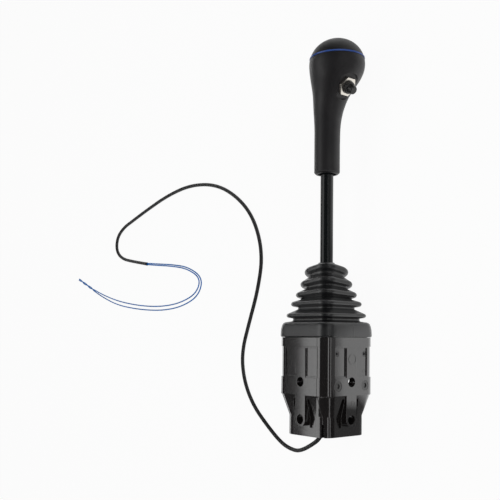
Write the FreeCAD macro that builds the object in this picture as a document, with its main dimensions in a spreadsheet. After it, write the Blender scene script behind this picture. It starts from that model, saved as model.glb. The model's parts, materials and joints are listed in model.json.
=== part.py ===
import FreeCAD, Part
import math
import os

import Sketcher

# Mechanical cable joystick: a moulded square housing with a two-axis pivot and two cable sliders,
# a rubber bellows, and a lever with a bulging knob that carries a push button and a lead.
#
# Every piece is drawn upright: z runs up the lever from the housing's underside, -y is the side of
# the lid and of the push button, +x is the mounting side. The finished joystick lies on its
# mounting side, so the last placement turns the lever to +X and the mounting side down to Z = 0.

os.makedirs("parts", exist_ok=True)
doc = FreeCAD.newDocument("CableJoystick")
Vector = FreeCAD.Vector
Rotation = FreeCAD.Rotation
Placement = FreeCAD.Placement

SIZES = {
    # housing outside: half widths across the flats, corner radii and heights
    "face_half": 33.0,
    "belt_corner": 12.3,
    "block_half": 27.1,
    "block_corner": 11.6,
    "block_top": 18.0,
    "taper_half": 32.3,
    "belt_bottom": 37.5,
    "belt_top": 54.0,
    "upper_half": 32.3,
    "upper_corner": 12.0,
    "band_height": 8.4,
    "band_half": 32.8,
    "housing_top": 90.0,
    # straps, recessed panels and bolt holes on the four faces
    "strap_width": 13.2,
    "strap_top": 80.6,
    "hole_radius": 4.35,
    "lower_hole": 15.7,
    "upper_hole": 49.7,
    "panel_depth": 1.0,
    "panel_inner": 7.4,
    "panel_outer": 20.6,
    "panel_margin": 1.2,
    "pocket_inner": 7.3,
    "pocket_wide": 13.4,
    "pocket_floor": 25.4,
    "pocket_top": 34.5,
    "pocket_knee": 16.5,
    "pocket_bottom": 8.5,
    # housing inside
    "wall": 3.0,
    "bolt_wall": 6.1,
    "lower_cavity_corner": 18.0,
    "floor_low": 28.0,
    "floor_high": 34.0,
    "shelf": 56.0,
    "boss_radius": 11.3,
    "cable_offset": 15.5,
    "port_radius": 8.0,
    "port_depth": 20.0,
    "bush_outer": 5.5,
    "bush_clearance": 0.05,
    "rim_half": 30.0,
    "rim_corner": 9.5,
    "rim_wall": 2.6,
    "rim_depth": 4.0,
    "rim_rise": 7.7,
    "seam_gap": 2.4,
    "seam_depth": 5.0,
    "seam_top": 12.0,
    # lid and its screws
    "lid_plane": 21.5,
    "lug_depth": 4.0,
    "lug_radius": 3.8,
    "lug_front": 30.0,
    "lug_web_front": 26.8,
    "lower_screw_side": 17.5,
    "lower_screw_height": 46.4,
    "lower_screw_radius": 2.0,
    "lower_screw_head": 4.5,
    "upper_screw_side": 17.8,
    "upper_screw_height": 75.3,
    "upper_screw_radius": 1.5,
    "upper_screw_head": 2.65,
    "screw_head_height": 2.0,
    # pivot bracket on the shelf
    "pivot_rise": 22.0,
    "plate_thickness": 4.0,
    "plate_gap": 0.3,
    "post_radius": 9.0,
    "post_rise": 13.0,
    "ear_inner": 6.5,
    "ear_thickness": 3.0,
    "ear_half": 5.0,
    "plate_screw_side": 24.8,
    "plate_screw_front": 17.0,
    "plate_screw_rear": 23.2,
    "plate_screw_radius": 1.5,
    "plate_screw_head": 3.2,
    "plate_screw_length": 10.0,
    "plate_pad_radius": 4.0,
    "plate_window_radius": 3.5,
    "plate_head_height": 2.2,
    "slot_width": 0.9,
    "slot_depth": 1.0,
    "plate_pad_low": 40.0,
    # universal joint
    "pin_radius": 2.5,
    "journal_outer": 3.5,
    "cross_half": 6.0,
    "cross_height": 10.0,
    "stub_inner": 3.0,
    "cup_inner": 13.2,
    "cup_wall": 2.3,
    "cup_depth": 3.6,
    "cup_rise": 13.0,
    "cup_cap": 3.0,
    "hub_boss_radius": 9.0,
    "hub_boss_height": 10.0,
    "spacer_radius": 4.5,
    "spacer_inner": 6.3,
    "spacer_gap": 1.0,
    "stud_boss_radius": 4.5,
    "stud_boss_end": 17.0,
    "stud_radius": 2.25,
    "stud_root": 13.4,
    "ball_radius": 4.0,
    "clip_radius": 4.2,
    "clip_thickness": 0.8,
    # cable sliders
    "groove_clearance": 0.35,
    "jaw_inner": 18.3,
    "jaw_outer": 29.5,
    "jaw_web": 3.2,
    "jaw_half": 6.5,
    "jaw_thickness": 3.15,
    "slider_radius": 4.0,
    "slider_bottom": 22.0,
    "slider_thread_radius": 2.1,
    "slider_thread_depth": 12.0,
    "upper_bush_radius": 6.0,
    "upper_bush_flange": 7.2,
    "upper_bush_lip": 1.2,
    # lever
    "rod_radius": 6.0,
    "rod_bore": 3.5,
    "rod_seat": 58.0,
    "nut_flat": 9.0,
    "nut_height": 6.0,
    # bellows: the folds shrink evenly towards the lever
    "skirt_rise": 14.0,
    "skirt_half": 32.8,
    "skirt_corner": 10.4,
    "skirt_edge": 1.6,
    "bellows_wall": 1.6,
    "bellows_gap": 0.3,
    "fold_1_rise": 61.0,
    "fold_2_rise": 49.1,
    "fold_3_rise": 39.3,
    "fold_4_rise": 30.7,
    "fold_5_rise": 20.2,
    "fold_tip": 1.5,
    "fold_half_top": 17.8,
    "fold_half_step": 2.73,
    "fold_corner_top": 12.5,
    "fold_corner_step": 0.85,
    "groove_half_top": 14.4,
    "groove_half_step": 2.4,
    "groove_rise": 1.0,
    "neck_corner": 9.5,
    "collar_height": 3.0,
    "collar_radius": 7.4,
    "bellows_rise": 69.2,
    # knob
    "knob_length": 99.0,
    "knob_edge": 1.6,
    "stem_radius": 11.9,
    "knob_recess_radius": 8.5,
    "knob_recess_depth": 2.0,
    "head_offset": 12.2,
    "head_radius": 25.6,
    "head_height": 341.0,
    "head_rise": 23.4,
    "head_wall": 3.2,
    "ring_lift": 4.6,
    "ring_thickness": 1.3,
    "ring_radius": 25.4,
    "ring_bore": 22.6,
    "cavity_depth": 25.0,
    "spigot_depth": 4.0,
    "insert_radius": 8.0,
    "insert_depth": 6.0,
    "insert_length": 26.0,
    "wire_hole": 4.0,
    # push button on its slanted seat
    "button_slope": 35.0,
    "seat_offset": 24.2,
    "seat_drop": 22.0,
    "seat_radius": 12.5,
    "panel_wall": 3.0,
    "switch_thread": 5.9,
    "switch_bezel": 5.6,
    "switch_shoulder": 7.4,
    "shoulder_thickness": 2.0,
    "switch_nose": 6.2,
    "case_radius": 7.0,
    "case_length": 15.0,
    "case_wall": 1.4,
    "switch_nut_flat": 8.0,
    "switch_nut_height": 2.5,
    "button_radius": 3.8,
    "button_tip": 11.4,
    "button_clearance": 0.08,
    "button_travel": 2.5,
    "button_flange": 5.0,
    "spring_wire": 0.35,
    "spring_radius": 3.6,
    "spring_turns": 6.0,
    "terminal_width": 2.8,
    "terminal_thickness": 0.8,
    "terminal_length": 5.0,
    "terminal_side": 2.8,
    # lead
    "grommet_neck": 4.5,
    "grommet_flange": 6.5,
    "grommet_lip": 4.0,
    "grommet_bore": 1.6,
    "sheath_radius": 2.0,
    "wire_radius": 0.75,
}

sheet = doc.addObject("Spreadsheet::Sheet", "Sizes")
for row, (alias, size) in enumerate(SIZES.items(), start=1):
    sheet.set(f"A{row}", alias)
    sheet.set(f"B{row}", str(size))
    sheet.setAlias(f"B{row}", alias)
doc.recompute()

PIECES = []

# Places that several pieces share, as formulas on the sheet.
HOLE_MIDDLE = "(Sizes.lower_hole + Sizes.upper_hole) / 2"
BAND_BOTTOM = "(Sizes.housing_top - Sizes.band_height)"
RIM_LOW = "(Sizes.housing_top - Sizes.rim_depth)"
RIM_TOP = "(Sizes.housing_top + Sizes.rim_rise)"
SKIRT_TOP = "(Sizes.housing_top + Sizes.skirt_rise)"
BELLOWS_TOP = "(Sizes.housing_top + Sizes.bellows_rise)"
PIVOT = "(Sizes.shelf + Sizes.pivot_rise)"
POST_TOP = "(Sizes.shelf + Sizes.post_rise)"
KNOB_BOTTOM = "(Sizes.head_height - Sizes.knob_length)"
ROD_TOP = f"({KNOB_BOTTOM} + Sizes.rod_seat)"
INSERT_LOW = f"({KNOB_BOTTOM} + Sizes.insert_depth)"
INSERT_HIGH = f"({INSERT_LOW} + Sizes.insert_length)"
CAVITY_FLOOR = "(Sizes.head_height - Sizes.cavity_depth)"
RING_HEIGHT = "(Sizes.head_height + Sizes.ring_lift)"
SEAT_HEIGHT = "(Sizes.head_height - Sizes.seat_drop)"
PLATE_TOP = "Sizes.shelf + Sizes.plate_thickness"
BALL_REACH = "Sizes.cable_offset * sqrt(2)"
CUP_OUTER = "Sizes.cup_inner + Sizes.cup_wall"
RIM_INNER = "Sizes.rim_half - Sizes.rim_wall"
CUP_TOP = f"{PIVOT} + Sizes.cup_rise + Sizes.cup_cap"
HUB_TOP = f"{CUP_TOP} + Sizes.hub_boss_height"
SWITCH_BACK = "Sizes.panel_wall + Sizes.shoulder_thickness"
LEFT_CORNER = 135
FAR_CORNER = 45
SIDES = (-1, 1)
LID_LEVELS = (("lower", "Sizes.face_half"), ("upper", "Sizes.upper_half - Sizes.panel_depth"))
SPRING_SLICES = 16
WIRE_SIDES = 8


def value(formula):
    """The number that a formula on the sheet gives."""
    number = sheet.evalExpression(formula)
    return float(getattr(number, "Value", number))


def bind(item, **formulas):
    """Ties an object's properties to the sheet; a double underscore stands for a dot."""
    for name, formula in formulas.items():
        item.setExpression(name.replace("__", "."), formula)


def bind_base(item, at):
    bind(item, Placement__Base__x=at[0], Placement__Base__y=at[1], Placement__Base__z=at[2])


# Sketches and features


def sketch_on(body, name, role="XY_Plane", offset="0"):
    sketch = body.newObject("Sketcher::SketchObject", name)
    plane = next(item for item in body.Origin.OriginFeatures if item.Role == role)
    sketch.AttachmentSupport = [(plane, "")]
    sketch.MapMode = "FlatFace"
    sketch.setExpression("AttachmentOffset.Base.z", offset)
    return sketch


def fix_point(sketch, geometry, point, across, up):
    """Dimensions one point of a sketch from the origin."""
    across_dimension = Sketcher.Constraint("DistanceX", -1, 1, geometry, point, value(across))
    sketch.setExpression(f"Constraints[{sketch.addConstraint(across_dimension)}]", across)
    up_dimension = Sketcher.Constraint("DistanceY", -1, 1, geometry, point, value(up))
    sketch.setExpression(f"Constraints[{sketch.addConstraint(up_dimension)}]", up)


def draw_polygon(sketch, corners):
    """A closed outline of straight lines through corners given as formulas."""
    first = sketch.GeometryCount
    spots = [Vector(value(across), value(up), 0) for across, up in corners]
    count = len(spots)
    for number in range(count):
        sketch.addGeometry(Part.LineSegment(spots[number], spots[(number + 1) % count]), False)
    for number in range(count):
        following = first + (number + 1) % count
        sketch.addConstraint(Sketcher.Constraint("Coincident", first + number, 2, following, 1))
    for number, (across, up) in enumerate(corners):
        fix_point(sketch, first + number, 1, across, up)


def draw_circle(sketch, radius, across="0", up="0"):
    centre = Vector(value(across), value(up), 0)
    index = sketch.addGeometry(Part.Circle(centre, Vector(0, 0, 1), value(radius)), False)
    number = sketch.addConstraint(Sketcher.Constraint("Radius", index, value(radius)))
    sketch.setExpression(f"Constraints[{number}]", radius)
    fix_point(sketch, index, 3, across, up)


def draw_rounded_square(sketch, half, corner):
    """A square centred on the origin, with four equal rounded corners."""
    radius = value(corner)
    inner = value(half) - radius
    outer = value(half)
    up = Vector(0, 0, 1)
    for quarter in range(4):
        turn = Rotation(up, 90 * quarter)
        start = turn.multVec(Vector(-inner, -outer, 0))
        end = turn.multVec(Vector(inner, -outer, 0))
        centre = turn.multVec(Vector(inner, -inner, 0))
        begin_angle = math.radians(90 * quarter - 90)
        circle = Part.Circle(centre, up, radius)
        sketch.addGeometry(Part.LineSegment(start, end), False)
        sketch.addGeometry(Part.ArcOfCircle(circle, begin_angle, begin_angle + math.pi / 2), False)
    for number in range(8):
        sketch.addConstraint(Sketcher.Constraint("Tangent", number, 2, (number + 1) % 8, 1))
    for line, direction in ((0, "Horizontal"), (2, "Vertical"), (4, "Horizontal"), (6, "Vertical")):
        sketch.addConstraint(Sketcher.Constraint(direction, line))
    for arc in (3, 5, 7):
        sketch.addConstraint(Sketcher.Constraint("Equal", 1, arc))
    number = sketch.addConstraint(Sketcher.Constraint("Radius", 1, radius))
    sketch.setExpression(f"Constraints[{number}]", corner)
    fix_point(sketch, 1, 3, f"({half}) - ({corner})", f"({corner}) - ({half})")
    sketch.addConstraint(Sketcher.Constraint("Symmetric", 1, 3, 5, 3, -1, 1))


def rounded_square(body, name, height, half, corner):
    sketch = sketch_on(body, name, offset=height)
    draw_rounded_square(sketch, half, corner)
    return sketch


def pad(body, name, sketch, length, backwards=False):
    feature = body.newObject("PartDesign::Pad", name)
    feature.Profile = sketch
    feature.setExpression("Length", length)
    feature.Reversed = backwards
    return feature


def pocket(body, name, sketch, length, backwards=False):
    """A pocket whose volume is checked, because one that points away cuts nothing."""
    doc.recompute()
    before = body.Shape.Volume
    feature = body.newObject("PartDesign::Pocket", name)
    feature.Profile = sketch
    feature.setExpression("Length", length)
    feature.Reversed = backwards
    doc.recompute()
    if not body.Shape.Volume < before:
        raise ValueError(f"{name} cuts nothing")
    return feature


def loft(body, name, sections, kind="PartDesign::AdditiveLoft", ruled=True):
    feature = body.newObject(kind, name)
    feature.Profile = sections[0]
    feature.Sections = sections[1:]
    feature.Ruled = ruled
    return feature


def on_four_faces(body, name, features):
    """Repeats features round the vertical axis, once per face."""
    doc.recompute()
    pattern = body.newObject("PartDesign::PolarPattern", name)
    pattern.Originals = features
    axis = next(item for item in body.Origin.OriginFeatures if item.Role == "Z_Axis")
    pattern.Axis = (axis, [""])
    pattern.Angle = 360
    pattern.Occurrences = 4
    body.Tip = pattern
    return pattern


def turned(name, corners):
    """A body turned about its own z axis from a profile of (radius, height) formulas."""
    body = doc.addObject("PartDesign::Body", name)
    sketch = sketch_on(body, f"{name}Profile", "XZ_Plane")
    draw_polygon(sketch, corners)
    feature = body.newObject("PartDesign::Revolution", f"{name}Turn")
    feature.Profile = sketch
    feature.ReferenceAxis = (sketch, ["V_Axis"])
    feature.Angle = 360
    return body


def tube_profile(inner, outer, low, high):
    return [(inner, low), (outer, low), (outer, high), (inner, high)]


# Primitives and booleans

ALONG = {
    "X": Rotation(Vector(0, 1, 0), 90),
    "Y": Rotation(Vector(1, 0, 0), -90),
    "Z": Rotation(),
}


def cylinder(name, radius, length, at=("0", "0", "0"), along="Z"):
    item = doc.addObject("Part::Cylinder", name)
    item.Placement = Placement(Vector(), ALONG[along])
    bind(item, Radius=radius, Height=length)
    bind_base(item, at)
    return item


def sphere(name, radius, at):
    item = doc.addObject("Part::Sphere", name)
    bind(item, Radius=radius)
    bind_base(item, at)
    return item


def box(name, length, width, height, at):
    item = doc.addObject("Part::Box", name)
    bind(item, Length=length, Width=width, Height=height)
    bind_base(item, at)
    return item


def hexagon(name, flat, height, at=("0", "0", "0")):
    """A hexagonal prism given by half its width across the flats."""
    item = doc.addObject("Part::Prism", name)
    item.Polygon = 6
    bind(item, Circumradius=f"{flat} / cos(30)", Height=height)
    bind_base(item, at)
    return item


def fuse(name, *items):
    result = doc.addObject("Part::MultiFuse", name)
    result.Shapes = list(items)
    return result


def cut(name, base, *tools):
    result = doc.addObject("Part::Cut", name)
    result.Base = base
    result.Tool = tools[0] if len(tools) == 1 else fuse(f"{name}Tools", *tools)
    return result


def group(name, *items):
    result = doc.addObject("Part::Compound", name)
    result.Links = list(items)
    return result


def finish(label, item, turn=0):
    """Lays a piece down in the joystick's own frame and keeps it under its name."""
    upright = Rotation(Vector(0, 0, 1), turn)
    lying = Rotation(Vector(0, 1, 0), 90)
    item.Placement = Placement(Vector(), lying.multiply(upright))
    bind_base(item, (f"-({HOLE_MIDDLE})", "0", "Sizes.face_half"))
    item.Label = label
    PIECES.append(item)


def finish_on_seat(label, item):
    """Lays down a piece whose own z axis is the push button's, outwards from its seat."""
    outwards = Rotation(Vector(1, 0, 0), 90 + SIZES["button_slope"])
    lying = Rotation(Vector(0, 1, 0), 90)
    item.Placement = Placement(Vector(), lying.multiply(outwards))
    along = f"{SEAT_HEIGHT} - ({HOLE_MIDDLE})"
    bind_base(item, (along, "-Sizes.seat_offset", "Sizes.face_half"))
    item.Label = label
    PIECES.append(item)


# Housing


def housing_outside(body):
    """Block, taper, belt, upper body and top band, one above the other."""
    block_low = rounded_square(body, "BlockSketch", "0", "Sizes.block_half", "Sizes.block_corner")
    pad(body, "Block", block_low, "Sizes.block_top")
    taper_low = rounded_square(
        body, "TaperLow", "Sizes.block_top", "Sizes.block_half", "Sizes.block_corner"
    )
    taper_high = rounded_square(
        body, "TaperHigh", "Sizes.belt_bottom", "Sizes.taper_half", "Sizes.upper_corner"
    )
    loft(body, "Taper", [taper_low, taper_high])
    belt = rounded_square(
        body, "BeltSketch", "Sizes.belt_bottom", "Sizes.face_half", "Sizes.belt_corner"
    )
    pad(body, "Belt", belt, "Sizes.belt_top - Sizes.belt_bottom")
    upper = rounded_square(
        body, "UpperSketch", "Sizes.belt_top", "Sizes.upper_half", "Sizes.upper_corner"
    )
    pad(body, "Upper", upper, f"{BAND_BOTTOM} - Sizes.belt_top")
    band = rounded_square(
        body, "BandSketch", BAND_BOTTOM, "Sizes.band_half", "Sizes.upper_corner"
    )
    pad(body, "Band", band, f"Sizes.housing_top - {BAND_BOTTOM}")
    rim = rounded_square(body, "RimSketch", RIM_LOW, "Sizes.rim_half", "Sizes.rim_corner")
    pad(body, "Rim", rim, f"{RIM_TOP} - {RIM_LOW}")


def housing_faces(body):
    """Straps flush with the belt, recessed panels and web pockets, on all four faces."""
    half_strap = "Sizes.strap_width / 2"
    sunk = "Sizes.block_half - 1.5"
    strap = sketch_on(body, "StrapSketch", "XZ_Plane", sunk)
    left, right = f"-{half_strap}", half_strap
    draw_polygon(
        strap,
        [
            (left, "Sizes.lower_hole"),
            (right, "Sizes.lower_hole"),
            (right, "Sizes.strap_top"),
            (left, "Sizes.strap_top"),
        ],
    )
    strap_pad = pad(body, "Strap", strap, f"Sizes.face_half - ({sunk})")
    foot = sketch_on(body, "StrapFootSketch", "XZ_Plane", sunk)
    draw_circle(foot, half_strap, "0", "Sizes.lower_hole")
    foot_pad = pad(body, "StrapFoot", foot, f"Sizes.face_half - ({sunk})")
    on_four_faces(body, "Straps", [strap_pad, foot_pad])

    panels = sketch_on(body, "PanelSketch", "XZ_Plane", "Sizes.face_half + 1")
    webs = sketch_on(body, "WebSketch", "XZ_Plane", "Sizes.face_half + 1")
    low, high = "Sizes.belt_top + Sizes.panel_margin", f"{BAND_BOTTOM} - Sizes.panel_margin"
    for side in SIDES:
        inner, outer = f"{side} * Sizes.panel_inner", f"{side} * Sizes.panel_outer"
        draw_polygon(panels, [(inner, low), (outer, low), (outer, high), (inner, high)])
        near, wide = f"{side} * Sizes.pocket_inner", f"{side} * Sizes.pocket_wide"
        middle = f"{side} * (Sizes.pocket_inner + Sizes.pocket_wide) / 2"
        draw_polygon(
            webs,
            [
                (near, "Sizes.pocket_bottom"),
                (middle, "Sizes.pocket_bottom"),
                (wide, "Sizes.pocket_knee"),
                (middle, "Sizes.pocket_top"),
                (near, "Sizes.pocket_top"),
            ],
        )
    panel_cut = pocket(
        body, "Panels", panels, "Sizes.face_half + 1 - Sizes.upper_half + Sizes.panel_depth"
    )
    web_cut = pocket(body, "Webs", webs, "Sizes.face_half + 1 - Sizes.pocket_floor")
    holes = sketch_on(body, "HoleSketch", "XZ_Plane", "Sizes.face_half + 1")
    for height in ("Sizes.lower_hole", "Sizes.upper_hole"):
        draw_circle(holes, "Sizes.hole_radius", "0", height)
    hole_cut = pocket(body, "BoltHoles", holes, "Sizes.face_half + 3 - Sizes.block_half + Sizes.wall")
    on_four_faces(body, "FaceCuts", [panel_cut, web_cut, hole_cut])


def housing_inside(body):
    """Underside hollow with four bosses, the two cavities, the floor and the cable ports."""
    hollow = rounded_square(
        body, "UndersideSketch", "0", "Sizes.block_half - Sizes.wall", "Sizes.block_corner - Sizes.wall"
    )
    pocket(body, "Underside", hollow, "Sizes.floor_low", backwards=True)
    bosses = sketch_on(body, "BossSketch")
    for across in SIDES:
        for up in SIDES:
            draw_circle(
                bosses,
                "Sizes.boss_radius",
                f"{across} * Sizes.cable_offset",
                f"{up} * Sizes.cable_offset",
            )
    pad(body, "Bosses", bosses, "Sizes.floor_low + 0.5")
    lower = rounded_square(
        body,
        "LowerCavitySketch",
        "Sizes.floor_high",
        "Sizes.face_half - Sizes.bolt_wall",
        "Sizes.lower_cavity_corner",
    )
    pocket(body, "LowerCavity", lower, "Sizes.shelf - Sizes.floor_high", backwards=True)
    upper = rounded_square(
        body,
        "UpperCavitySketch",
        "Sizes.shelf",
        "Sizes.upper_half - Sizes.wall",
        "Sizes.upper_corner - Sizes.wall",
    )
    pocket(body, "UpperCavity", upper, f"{RIM_LOW} - Sizes.shelf", backwards=True)
    mouth = rounded_square(
        body, "MouthSketch", RIM_LOW, RIM_INNER, "Sizes.rim_corner - Sizes.rim_wall"
    )
    pocket(body, "Mouth", mouth, f"{RIM_TOP} - {RIM_LOW}", backwards=True)
    ports = sketch_on(body, "PortSketch")
    seats = sketch_on(body, "BushSeatSketch")
    for side in SIDES:
        across = f"{side} * Sizes.cable_offset"
        draw_circle(ports, "Sizes.port_radius", across, "Sizes.cable_offset")
        draw_circle(seats, "Sizes.bush_outer", across, "Sizes.cable_offset")
    pocket(body, "Ports", ports, "Sizes.port_depth", backwards=True)
    pocket(body, "BushSeats", seats, "Sizes.floor_high", backwards=True)
    lead = sketch_on(body, "LeadHoleSketch", offset="Sizes.floor_low")
    draw_circle(lead, "Sizes.grommet_neck")
    pocket(body, "LeadHole", lead, "Sizes.floor_high - Sizes.floor_low", backwards=True)


def housing_lugs(body):
    """Screw lugs that reach in from the side walls, and pads under the bracket's front corners."""
    start = "Sizes.lid_plane - Sizes.lug_depth"
    lugs = sketch_on(body, "LugSketch", "XZ_Plane", start)
    ends = sketch_on(body, "LugEndSketch", "XZ_Plane", start)
    for side in SIDES:
        for level, wall in (("lower", "Sizes.face_half - 5"), ("upper", "Sizes.upper_half - 2.5")):
            inner, outer = f"{side} * Sizes.{level}_screw_side", f"{side} * ({wall})"
            low = f"Sizes.{level}_screw_height - Sizes.lug_radius"
            high = f"Sizes.{level}_screw_height + Sizes.lug_radius"
            draw_polygon(lugs, [(inner, low), (outer, low), (outer, high), (inner, high)])
            draw_circle(ends, "Sizes.lug_radius", inner, f"Sizes.{level}_screw_height")
    pad(body, "Lugs", lugs, f"Sizes.lug_web_front - ({start})")
    pad(body, "LugEnds", ends, f"Sizes.lug_front - ({start})")
    pads = sketch_on(body, "PlatePadSketch", offset="Sizes.plate_pad_low")
    for side in SIDES:
        across = f"{side} * Sizes.plate_screw_side"
        draw_circle(pads, "Sizes.plate_pad_radius", across, "-Sizes.plate_screw_front")
    pad(body, "PlatePads", pads, "Sizes.shelf - Sizes.plate_pad_low")


def plate_screw_places():
    """The bracket's four screws: two near the lid and two in the rear corners."""
    rows = ("-Sizes.plate_screw_front", "Sizes.plate_screw_rear")
    return [(f"{side} * Sizes.plate_screw_side", row) for side in SIDES for row in rows]


def lid_screw_cutters():
    """Shank holes and flush head recesses of the four lid screws."""
    cutters = []
    for side in SIDES:
        for level, face in LID_LEVELS:
            at = (f"{side} * Sizes.{level}_screw_side", "-40", f"Sizes.{level}_screw_height")
            hole_end = "40 - Sizes.lid_plane + Sizes.lug_depth"
            cutters.append(
                cylinder(f"Lid{level}Hole", f"Sizes.{level}_screw_radius", hole_end, at, "Y")
            )
            recess_end = f"40 - ({face}) + Sizes.screw_head_height"
            cutters.append(
                cylinder(f"Lid{level}Recess", f"Sizes.{level}_screw_head", recess_end, at, "Y")
            )
    return cutters


def make_housing():
    body = doc.addObject("PartDesign::Body", "HousingShell")
    housing_outside(body)
    housing_faces(body)
    housing_inside(body)
    housing_lugs(body)
    cutters = lid_screw_cutters()
    for across, up in plate_screw_places():
        at = (across, up, "Sizes.shelf - Sizes.plate_screw_length + Sizes.plate_thickness")
        cutters.append(
            cylinder("PlateScrewHole", "Sizes.plate_screw_radius", "Sizes.plate_screw_length", at)
        )
    for side in SIDES:
        low_side = f"{side} * (Sizes.block_half - Sizes.seam_depth / 2) - (Sizes.seam_depth + 1) / 2"
        at = (low_side, "-Sizes.lid_plane - Sizes.seam_gap / 2", "-1")
        cutters.append(
            box("SeamGap", "Sizes.seam_depth + 1", "Sizes.seam_gap", "Sizes.seam_top + 1", at)
        )
    whole = cut("HousingWhole", body, *cutters)
    front = box("LidSpace", "80", "40 - Sizes.lid_plane", "120", ("-40", "-40", "-5"))
    finish("housing_body", cut("HousingBody", whole, front))
    lid = doc.addObject("Part::Common", "HousingLid")
    lid.Base = whole
    lid.Tool = front
    finish("housing_cover", lid)


def make_lid_screws():
    for level, face in LID_LEVELS:
        screws = []
        for side in SIDES:
            across = f"{side} * Sizes.{level}_screw_side"
            height = f"Sizes.{level}_screw_height"
            head_at = (across, f"-({face}) + 0.2", height)
            head = cylinder(
                "ScrewHead", f"Sizes.{level}_screw_head", "Sizes.screw_head_height - 0.2", head_at, "Y"
            )
            length = f"({face}) - 0.2 - Sizes.lid_plane + Sizes.lug_depth - 0.5"
            shank = cylinder("ScrewShank", f"Sizes.{level}_screw_radius", length, head_at, "Y")
            socket = hexagon("ScrewSocket", f"Sizes.{level}_screw_head * 0.45", "1.4")
            socket.Placement = Placement(Vector(), ALONG["Y"])
            bind_base(socket, (across, f"-({face}) - 0.2", height))
            screws.append(cut("LidScrew", fuse("ScrewBlank", head, shank), socket))
        finish(f"cover_screws_{level}", group(f"LidScrews{level}", *screws))


# Pivot bracket, universal joint and hub


def make_bracket():
    """A plate on the housing's shelf with a post, and two ears towards the near and far corners."""
    body = doc.addObject("PartDesign::Body", "BracketPlate")
    outline = rounded_square(
        body,
        "PlateSketch",
        "Sizes.shelf",
        "Sizes.upper_half - Sizes.wall - Sizes.plate_gap",
        "Sizes.upper_corner - Sizes.wall - Sizes.plate_gap",
    )
    pad(body, "Plate", outline, "Sizes.plate_thickness")
    post = cylinder(
        "Post", "Sizes.post_radius", f"{POST_TOP} - Sizes.shelf", ("0", "0", "Sizes.shelf")
    )
    ears = []
    for side in SIDES:
        start = f"{side} * (Sizes.ear_inner + Sizes.ear_thickness / 2) - Sizes.ear_thickness / 2"
        ear_height = f"{PIVOT} - ({PLATE_TOP}) + 1"
        ears.append(
            box(
                "Ear",
                "Sizes.ear_thickness",
                "2 * Sizes.ear_half",
                ear_height,
                (start, "-Sizes.ear_half", f"{PLATE_TOP} - 1"),
            )
        )
        ears.append(
            cylinder(
                "EarTop",
                "Sizes.ear_half",
                "Sizes.ear_thickness",
                (start, "0", PIVOT),
                "X",
            )
        )
    ear_pair = fuse("EarPair", *ears)
    journal = cylinder(
        "JournalBore", "Sizes.journal_outer", "40", ("-20", "0", PIVOT), "X"
    )
    fork = cut("Fork", ear_pair, journal)
    fork.Placement = Placement(Vector(), Rotation(Vector(0, 0, 1), FAR_CORNER))
    blank = fuse("BracketBlank", body, post, fork)
    tools = [
        box(
            "PlateFront",
            "80",
            "20",
            "20",
            ("-40", "-20 - Sizes.lid_plane + Sizes.plate_gap", "Sizes.shelf - 5"),
        )
    ]
    for side in SIDES:
        at = (f"{side} * Sizes.cable_offset", "Sizes.cable_offset", "Sizes.shelf - 5")
        tools.append(cylinder("UpperBushSeat", "Sizes.upper_bush_radius", "20", at))
        at = (f"{side} * Sizes.cable_offset", "-Sizes.cable_offset", "Sizes.shelf - 5")
        tools.append(cylinder("PlateWindow", "Sizes.plate_window_radius", "10", at))
    for across, up in plate_screw_places():
        at = (across, up, "Sizes.shelf - 5")
        tools.append(cylinder("PlateScrewWay", "Sizes.plate_screw_radius", "20", at))
    finish("pivot_bracket", cut("Bracket", blank, *tools))

    screws = []
    for across, up in plate_screw_places():
        head_at = (across, up, PLATE_TOP)
        head = cylinder("PlateScrewHead", "Sizes.plate_screw_head", "Sizes.plate_head_height", head_at)
        low = f"{PLATE_TOP} - Sizes.plate_screw_length + 0.5"
        shank = cylinder(
            "PlateScrewShank", "Sizes.plate_screw_radius", "Sizes.plate_screw_length", (across, up, low)
        )
        slot = box(
            "PlateScrewSlot",
            "10",
            "Sizes.slot_width",
            "Sizes.slot_depth + 1",
            (
                f"{across} - 5",
                f"{up} - Sizes.slot_width / 2",
                f"{PLATE_TOP} + Sizes.plate_head_height - Sizes.slot_depth",
            ),
        )
        screws.append(cut("PlateScrew", fuse("PlateScrewBlank", head, shank), slot))
    finish("bracket_screws", group("PlateScrews", *screws))

    bushes = []
    for side in SIDES:
        start = f"{side} * (Sizes.ear_inner + Sizes.ear_thickness / 2) - Sizes.ear_thickness / 2"
        at = (start, "0", PIVOT)
        outer = cylinder("EarBush", "Sizes.journal_outer", "Sizes.ear_thickness", at, "X")
        bore = cylinder(
            "EarBushBore", "Sizes.pin_radius + Sizes.bush_clearance", "Sizes.ear_thickness", at, "X"
        )
        bushes.append(cut("EarBushCut", outer, bore))
    finish("bracket_bushes", group("EarBushes", *bushes), FAR_CORNER)


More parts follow.
